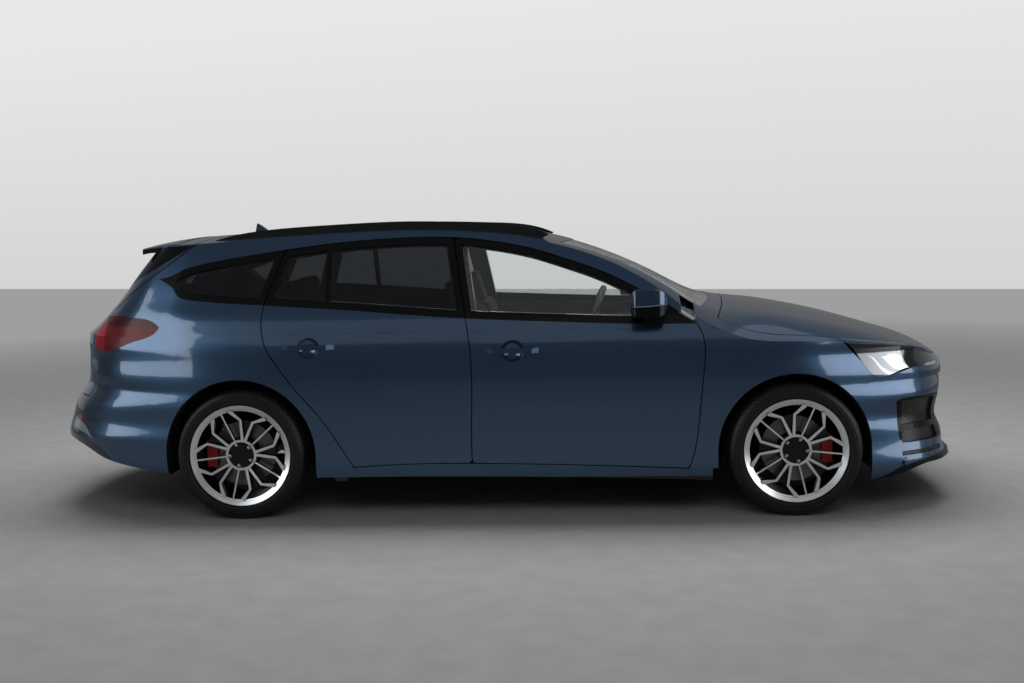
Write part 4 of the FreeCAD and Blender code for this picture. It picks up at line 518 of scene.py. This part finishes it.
def rubber_finish(name, centre_x):
    """Rubber with cross cuts in the tread, by angle about the axle, and rings on the walls."""
    material = plain(name, (0.0085, 0.0085, 0.009, 1), roughness=0.50, specular=0.35)
    tree = material.node_tree
    x, y, z = axes(tree)
    across, above, squares = from_axle(tree, centre_x)
    slant = maths(tree, "MULTIPLY", maths(tree, "ABSOLUTE", y), CUT_SLANT)
    turned = maths(tree, "ADD", maths(tree, "ARCTAN2", above, across), slant)
    wave = maths(tree, "SINE", maths(tree, "MULTIPLY", turned, CUTS_ROUND))
    tread = more_than(tree, squares, TREAD_FOOT ** 2)
    uncut = ranged(tree, wave, CUT_START, CUT_END, 1, 0)
    blocks = maths(tree, "MAXIMUM", uncut, opposite(tree, tread))
    coloured(material, tread, (0.026, 0.026, 0.027, 1))
    for inner, outer in SIDE_RINGS:
        ring = both(tree, more_than(tree, squares, inner ** 2), less_than(tree, squares, outer ** 2))
        coloured(material, ring, (0.030, 0.030, 0.031, 1))
    # The cross cuts are painted near black: painted shade in the cuts, which are only a bump.
    coloured(material, opposite(tree, blocks), (0.0008, 0.0008, 0.0008, 1))
    grain = maths(tree, "MULTIPLY", noise(tree, RUBBER_SCALE), RUBBER_SHARE)
    bumped(material, maths(tree, "ADD", blocks, grain), RUBBER_STRENGTH, RUBBER_DEPTH)
    return material


def placed(name, mesh, material, body):
    """Makes an object of a bmesh, with its finish and body."""
    bmesh.ops.recalc_face_normals(mesh, faces=mesh.faces)
    data = bpy.data.meshes.new(name)
    mesh.to_mesh(data)
    mesh.free()
    data.materials.append(material)
    for face in data.polygons:
        face.use_smooth = True
    piece = bpy.data.objects.new(name, data)
    bpy.context.scene.collection.objects.link(piece)
    crease = piece.modifiers.new("crease", "EDGE_SPLIT")
    crease.split_angle = SMOOTH_ANGLE
    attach(piece, body)
    return piece


half_tread = [(CROWN_RADIUS - SHOULDER_DROP, SHOULDER_OUT)]
for groove in GROOVES:
    floor_half_width = GROOVE_HALF_WIDTH * GROOVE_FLOOR_SHARE
    half_tread += [(CROWN_RADIUS, groove + GROOVE_HALF_WIDTH),
                   (CROWN_RADIUS - GROOVE_DEPTH, groove + floor_half_width),
                   (CROWN_RADIUS - GROOVE_DEPTH, groove - floor_half_width),
                   (CROWN_RADIUS, groove - GROOVE_HALF_WIDTH)]
half_profile = INNER_BEAD + SIDE_WALL + half_tread
tyre_profile = half_profile + [(radius, -out) for radius, out in reversed(half_profile)]
for end, (centre_x, centre_y) in WHEELS.items():
    rubber = rubber_finish(end + "_rubber", centre_x)
    for hand, side in (("right", -1), ("left", 1)):
        ring = bmesh.new()
        centre = Vector((centre_x, side * centre_y, WHEEL_RADIUS))
        spots = [ring.verts.new(centre + Vector((0, side * out, radius))) for radius, out in tyre_profile]
        for first, second in zip(spots, spots[1:] + spots[:1]):
            ring.edges.new((first, second))
        bmesh.ops.spin(ring, geom=ring.verts[:] + ring.edges[:], cent=centre, axis=(0, 1, 0),
                       angle=2 * math.pi, steps=TYRE_STEPS, use_merge=True)
        tyre = placed(end + "_road_tyre_" + hand, ring, rubber, end + "_wheel_" + hand)
        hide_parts(end + "_tyre_" + hand)

# Wheel bolts: forged steel with hexagon heads, plated, five in the pockets round
# each hub.
BOLTS = 5
BOLT_CIRCLE = 0.054
BOLT_OUT = 0.089
BOLT_TURNS = {"front": 67, "rear": 42}
HEAD_SIDES = 6
HEAD_RADIUS, HEAD_DEPTH = 0.0095, 0.016
HEAD_BEVEL = 0.0014
BOLT_GREY = (0.35, 0.35, 0.36, 1)
bolt_metal = grained("bolt_metal", BOLT_GREY, roughness=0.30, scale=500, depth=0.0001, metallic=0.9)
for end, (centre_x, centre_y) in WHEELS.items():
    for hand, side in (("right", -1), ("left", 1)):
        heads = bmesh.new()
        for i in range(BOLTS):
            turn = math.radians(BOLT_TURNS[end] + i * 360 / BOLTS)
            seat = Vector((centre_x + BOLT_CIRCLE * math.cos(turn), side * (centre_y + BOLT_OUT),
                           WHEEL_RADIUS + BOLT_CIRCLE * math.sin(turn)))
            flat_on = Matrix.Translation(seat) @ Matrix.Rotation(math.radians(90), 4, "X")
            bmesh.ops.create_cone(heads, cap_ends=True, segments=HEAD_SIDES, radius1=HEAD_RADIUS,
                                  radius2=HEAD_RADIUS, depth=HEAD_DEPTH, matrix=flat_on)
        bmesh.ops.bevel(heads, geom=heads.edges[:], offset=HEAD_BEVEL, affect="EDGES", segments=2,
                        profile=0.5, material=-1)
        placed(end + "_bolts_" + hand, heads, bolt_metal, end + "_wheel_" + hand)

# The studio's floor and wall: a grey painted floor with fine mottling, and a pale
# wall far behind. Their far parts glow for the camera, so that they stay even.
FLOOR_HALF_SIZE = 60
FLOOR_DARK = (0.385, 0.385, 0.39, 1)
FLOOR_LIGHT = (0.425, 0.425, 0.427, 1)
FLOOR_FAR = (0.345, 0.345, 0.345, 1)
FLOOR_NEAR_REACH, FLOOR_FAR_REACH = 3.0, 12.0
MOTTLE_SCALE, MOTTLE_DETAIL = 7.0, 9.0
MOTTLE_START, MOTTLE_END = 0.35, 0.65
MIRRORED_SHARE = 0.22
WALL_LEFT, WALL_RIGHT = Vector((-32.0, 29.95, 0)), Vector((22.0, 13.03, 0))
WALL_HEIGHT = 16.0
WALL_FOOT_TONE = (0.660, 0.660, 0.660, 1)
WALL_TOP_TONE = (0.800, 0.800, 0.800, 1)
WALL_TONE_HEIGHT = 6.0


def staged(name, mesh, material):
    """Puts a bmesh in the studio, apart from the object."""
    data = bpy.data.meshes.new(name)
    mesh.to_mesh(data)
    mesh.free()
    data.materials.append(material)
    piece = bpy.data.objects.new(name, data)
    bpy.context.scene.collection.objects.link(piece)


def sheet(first, second, reach):
    """A flat sheet, drawn out from the edge between two points."""
    mesh = bmesh.new()
    foot = mesh.edges.new([mesh.verts.new(first), mesh.verts.new(second)])
    drawn = bmesh.ops.extrude_edge_only(mesh, edges=[foot])
    moved = [part for part in drawn["geom"] if isinstance(part, bmesh.types.BMVert)]
    bmesh.ops.translate(mesh, vec=reach, verts=moved)
    return mesh


def seen_rays(tree):
    """The Light Path node, and 1 for rays from the camera or through glass."""
    path = tree.nodes.new("ShaderNodeLightPath")
    return path, maths(tree, "MAXIMUM", path.outputs["Is Camera Ray"], path.outputs["Is Transmission Ray"])


def seen_glow(tree):
    """Glow that camera and glass rays meet, and mirror rays weakly, so that it lights nothing."""
    path, seen = seen_rays(tree)
    mirrored = maths(tree, "MULTIPLY", path.outputs["Is Glossy Ray"], MIRRORED_SHARE)
    glow = tree.nodes.new("ShaderNodeEmission")
    tree.links.new(maths(tree, "MAXIMUM", seen, mirrored), glow.inputs["Strength"])
    return glow


floor_paint = plain("floor_paint", FLOOR_DARK, roughness=0.75, specular=0.25)
tree = floor_paint.node_tree
mottle = ranged(tree, noise(tree, MOTTLE_SCALE, MOTTLE_DETAIL), MOTTLE_START, MOTTLE_END, 0, 1)
coloured(floor_paint, mottle, FLOOR_LIGHT)
from_middle = tree.nodes.new("ShaderNodeVectorMath")
from_middle.operation = "LENGTH"
tree.links.new(coordinates(tree), from_middle.inputs[0])
glow = seen_glow(tree)
glow.inputs["Color"].default_value = FLOOR_FAR
blend = tree.nodes.new("ShaderNodeMixShader")
far = ranged(tree, from_middle.outputs["Value"], FLOOR_NEAR_REACH, FLOOR_FAR_REACH, 0, 1)
tree.links.new(far, blend.inputs["Fac"])
tree.links.new(tree.nodes["Principled BSDF"].outputs["BSDF"], blend.inputs[1])
tree.links.new(glow.outputs["Emission"], blend.inputs[2])
tree.links.new(blend.outputs["Shader"], tree.nodes["Material Output"].inputs["Surface"])
floor_mesh = bmesh.new()
bmesh.ops.create_grid(floor_mesh, x_segments=1, y_segments=1, size=FLOOR_HALF_SIZE)
staged("floor", floor_mesh, floor_paint)

wall_paint = plain("wall_paint", WALL_TOP_TONE, roughness=0.9)
tree = wall_paint.node_tree
x, y, z = axes(tree)
glow = seen_glow(tree)
height = ranged(tree, z, 0, WALL_TONE_HEIGHT, 0, 1)
tree.links.new(mixed(tree, height, WALL_FOOT_TONE, WALL_TOP_TONE), glow.inputs["Color"])
tree.links.new(glow.outputs["Emission"], tree.nodes["Material Output"].inputs["Surface"])
staged("wall", sheet(WALL_LEFT, WALL_RIGHT, (0, 0, WALL_HEIGHT)), wall_paint)

# The studio's lights: two soft boxes, hidden from mirror rays, and cards that only
# mirror rays meet, as a studio's white walls are seen in the paint.
SOFT_BOXES = {  # place, aim, width, depth, power
    "overhead": ((0.2, 1.1, 5.2), (0.2, 0.7, 0), 7.5, 3.0, 310),
    "front_side": ((0.5, -8.0, 6.5), (0.2, 0, 0.6), 9.0, 3.5, 120),
}
CARDS = {  # two foot points, reach, strength
    "tail_card": ((-5.2, -8.1, 0.1), (-9.6, -2.9, 0.1), (0, 0, 7.5), 3.2),
    "nose_card": ((5.8, -7.8, 0.1), (9.8, -0.9, 0.1), (0, 0, 5.5), 3.4),
    "belt_card": ((-5.0, -8.0, 4.6), (6.0, -8.0, 4.6), (0, 0, 3.4), 0.42),
    "far_tail_card": ((-5.2, 8.1, 0.1), (-9.6, 2.9, 0.1), (0, 0, 7.5), 0.30),
    "far_nose_card": ((5.8, 7.8, 0.1), (9.8, 0.9, 0.1), (0, 0, 5.5), 0.30),
    "ceiling_card": ((-3.5, 0.0, 5.3), (4.0, 0.0, 5.3), (0, 3.0, 0), 0.5),
}
CARD_WHITE = (0.95, 0.98, 1.0, 1)
WORLD_FILL = (0.12, 0.124, 0.128, 1)
WORLD_MIRRORED = (0.13, 0.134, 0.14, 1)
WORLD_SEEN = (0.78, 0.78, 0.78, 1)


def reflected(name, strength):
    """Glow that only mirror rays meet; every other ray passes."""
    material = plain(name, CARD_WHITE, roughness=0.9)
    tree = material.node_tree
    path = tree.nodes.new("ShaderNodeLightPath")
    clear = tree.nodes.new("ShaderNodeBsdfTransparent")
    shine = tree.nodes.new("ShaderNodeEmission")
    shine.inputs["Color"].default_value = CARD_WHITE
    shine.inputs["Strength"].default_value = strength
    blend = tree.nodes.new("ShaderNodeMixShader")
    tree.links.new(path.outputs["Is Glossy Ray"], blend.inputs["Fac"])
    tree.links.new(clear.outputs["BSDF"], blend.inputs[1])
    tree.links.new(shine.outputs["Emission"], blend.inputs[2])
    tree.links.new(blend.outputs["Shader"], tree.nodes["Material Output"].inputs["Surface"])
    return material


for name, (spot, aim, width, depth, power) in SOFT_BOXES.items():
    lamp = bpy.data.lights.new(name, "AREA")
    lamp.shape = "RECTANGLE"
    lamp.size, lamp.size_y, lamp.energy = width, depth, power
    light = bpy.data.objects.new(name, lamp)
    light.location = spot
    light.rotation_euler = (Vector(aim) - Vector(spot)).to_track_quat("-Z", "Y").to_euler()
    light.visible_glossy = False
    bpy.context.scene.collection.objects.link(light)
for name, (first, second, reach, strength) in CARDS.items():
    staged(name, sheet(first, second, reach), reflected(name + "_white", strength))
world = bpy.data.worlds.new("studio")
world.use_nodes = True
tree = world.node_tree
path, seen = seen_rays(tree)
unseen_tone = mixed(tree, path.outputs["Is Glossy Ray"], WORLD_FILL, WORLD_MIRRORED)
tree.links.new(mixed(tree, seen, unseen_tone, WORLD_SEEN), tree.nodes["Background"].inputs["Color"])
bpy.context.scene.world = world

# The camera of the photograph: a little ahead of the middle, at eye height.
CAMERA_PLACE = (0.43035, -6.79216, 1.42838)
CAMERA_YAW, CAMERA_PITCH, CAMERA_ROLL = math.radians(3.1725), math.radians(-5.4526), math.radians(-1.1328)
CAMERA_LENS = 43.42
SENSOR_WIDTH = 36
forward = Vector((-math.sin(CAMERA_YAW) * math.cos(CAMERA_PITCH),
                  math.cos(CAMERA_YAW) * math.cos(CAMERA_PITCH), math.sin(CAMERA_PITCH)))
level = Vector((math.cos(CAMERA_YAW), math.sin(CAMERA_YAW), 0))
steep = level.cross(forward)
right = level * math.cos(CAMERA_ROLL) + steep * math.sin(CAMERA_ROLL)
up = steep * math.cos(CAMERA_ROLL) - level * math.sin(CAMERA_ROLL)
camera_data = bpy.data.cameras.new("camera")
camera_data.lens, camera_data.sensor_width = CAMERA_LENS, SENSOR_WIDTH
camera = bpy.data.objects.new("camera", camera_data)
camera.matrix_world = Matrix.Translation(CAMERA_PLACE) @ Matrix((right, up, -forward)).transposed().to_4x4()
bpy.context.scene.collection.objects.link(camera)
bpy.context.scene.camera = camera
bpy.context.scene.view_settings.view_transform = "Standard"
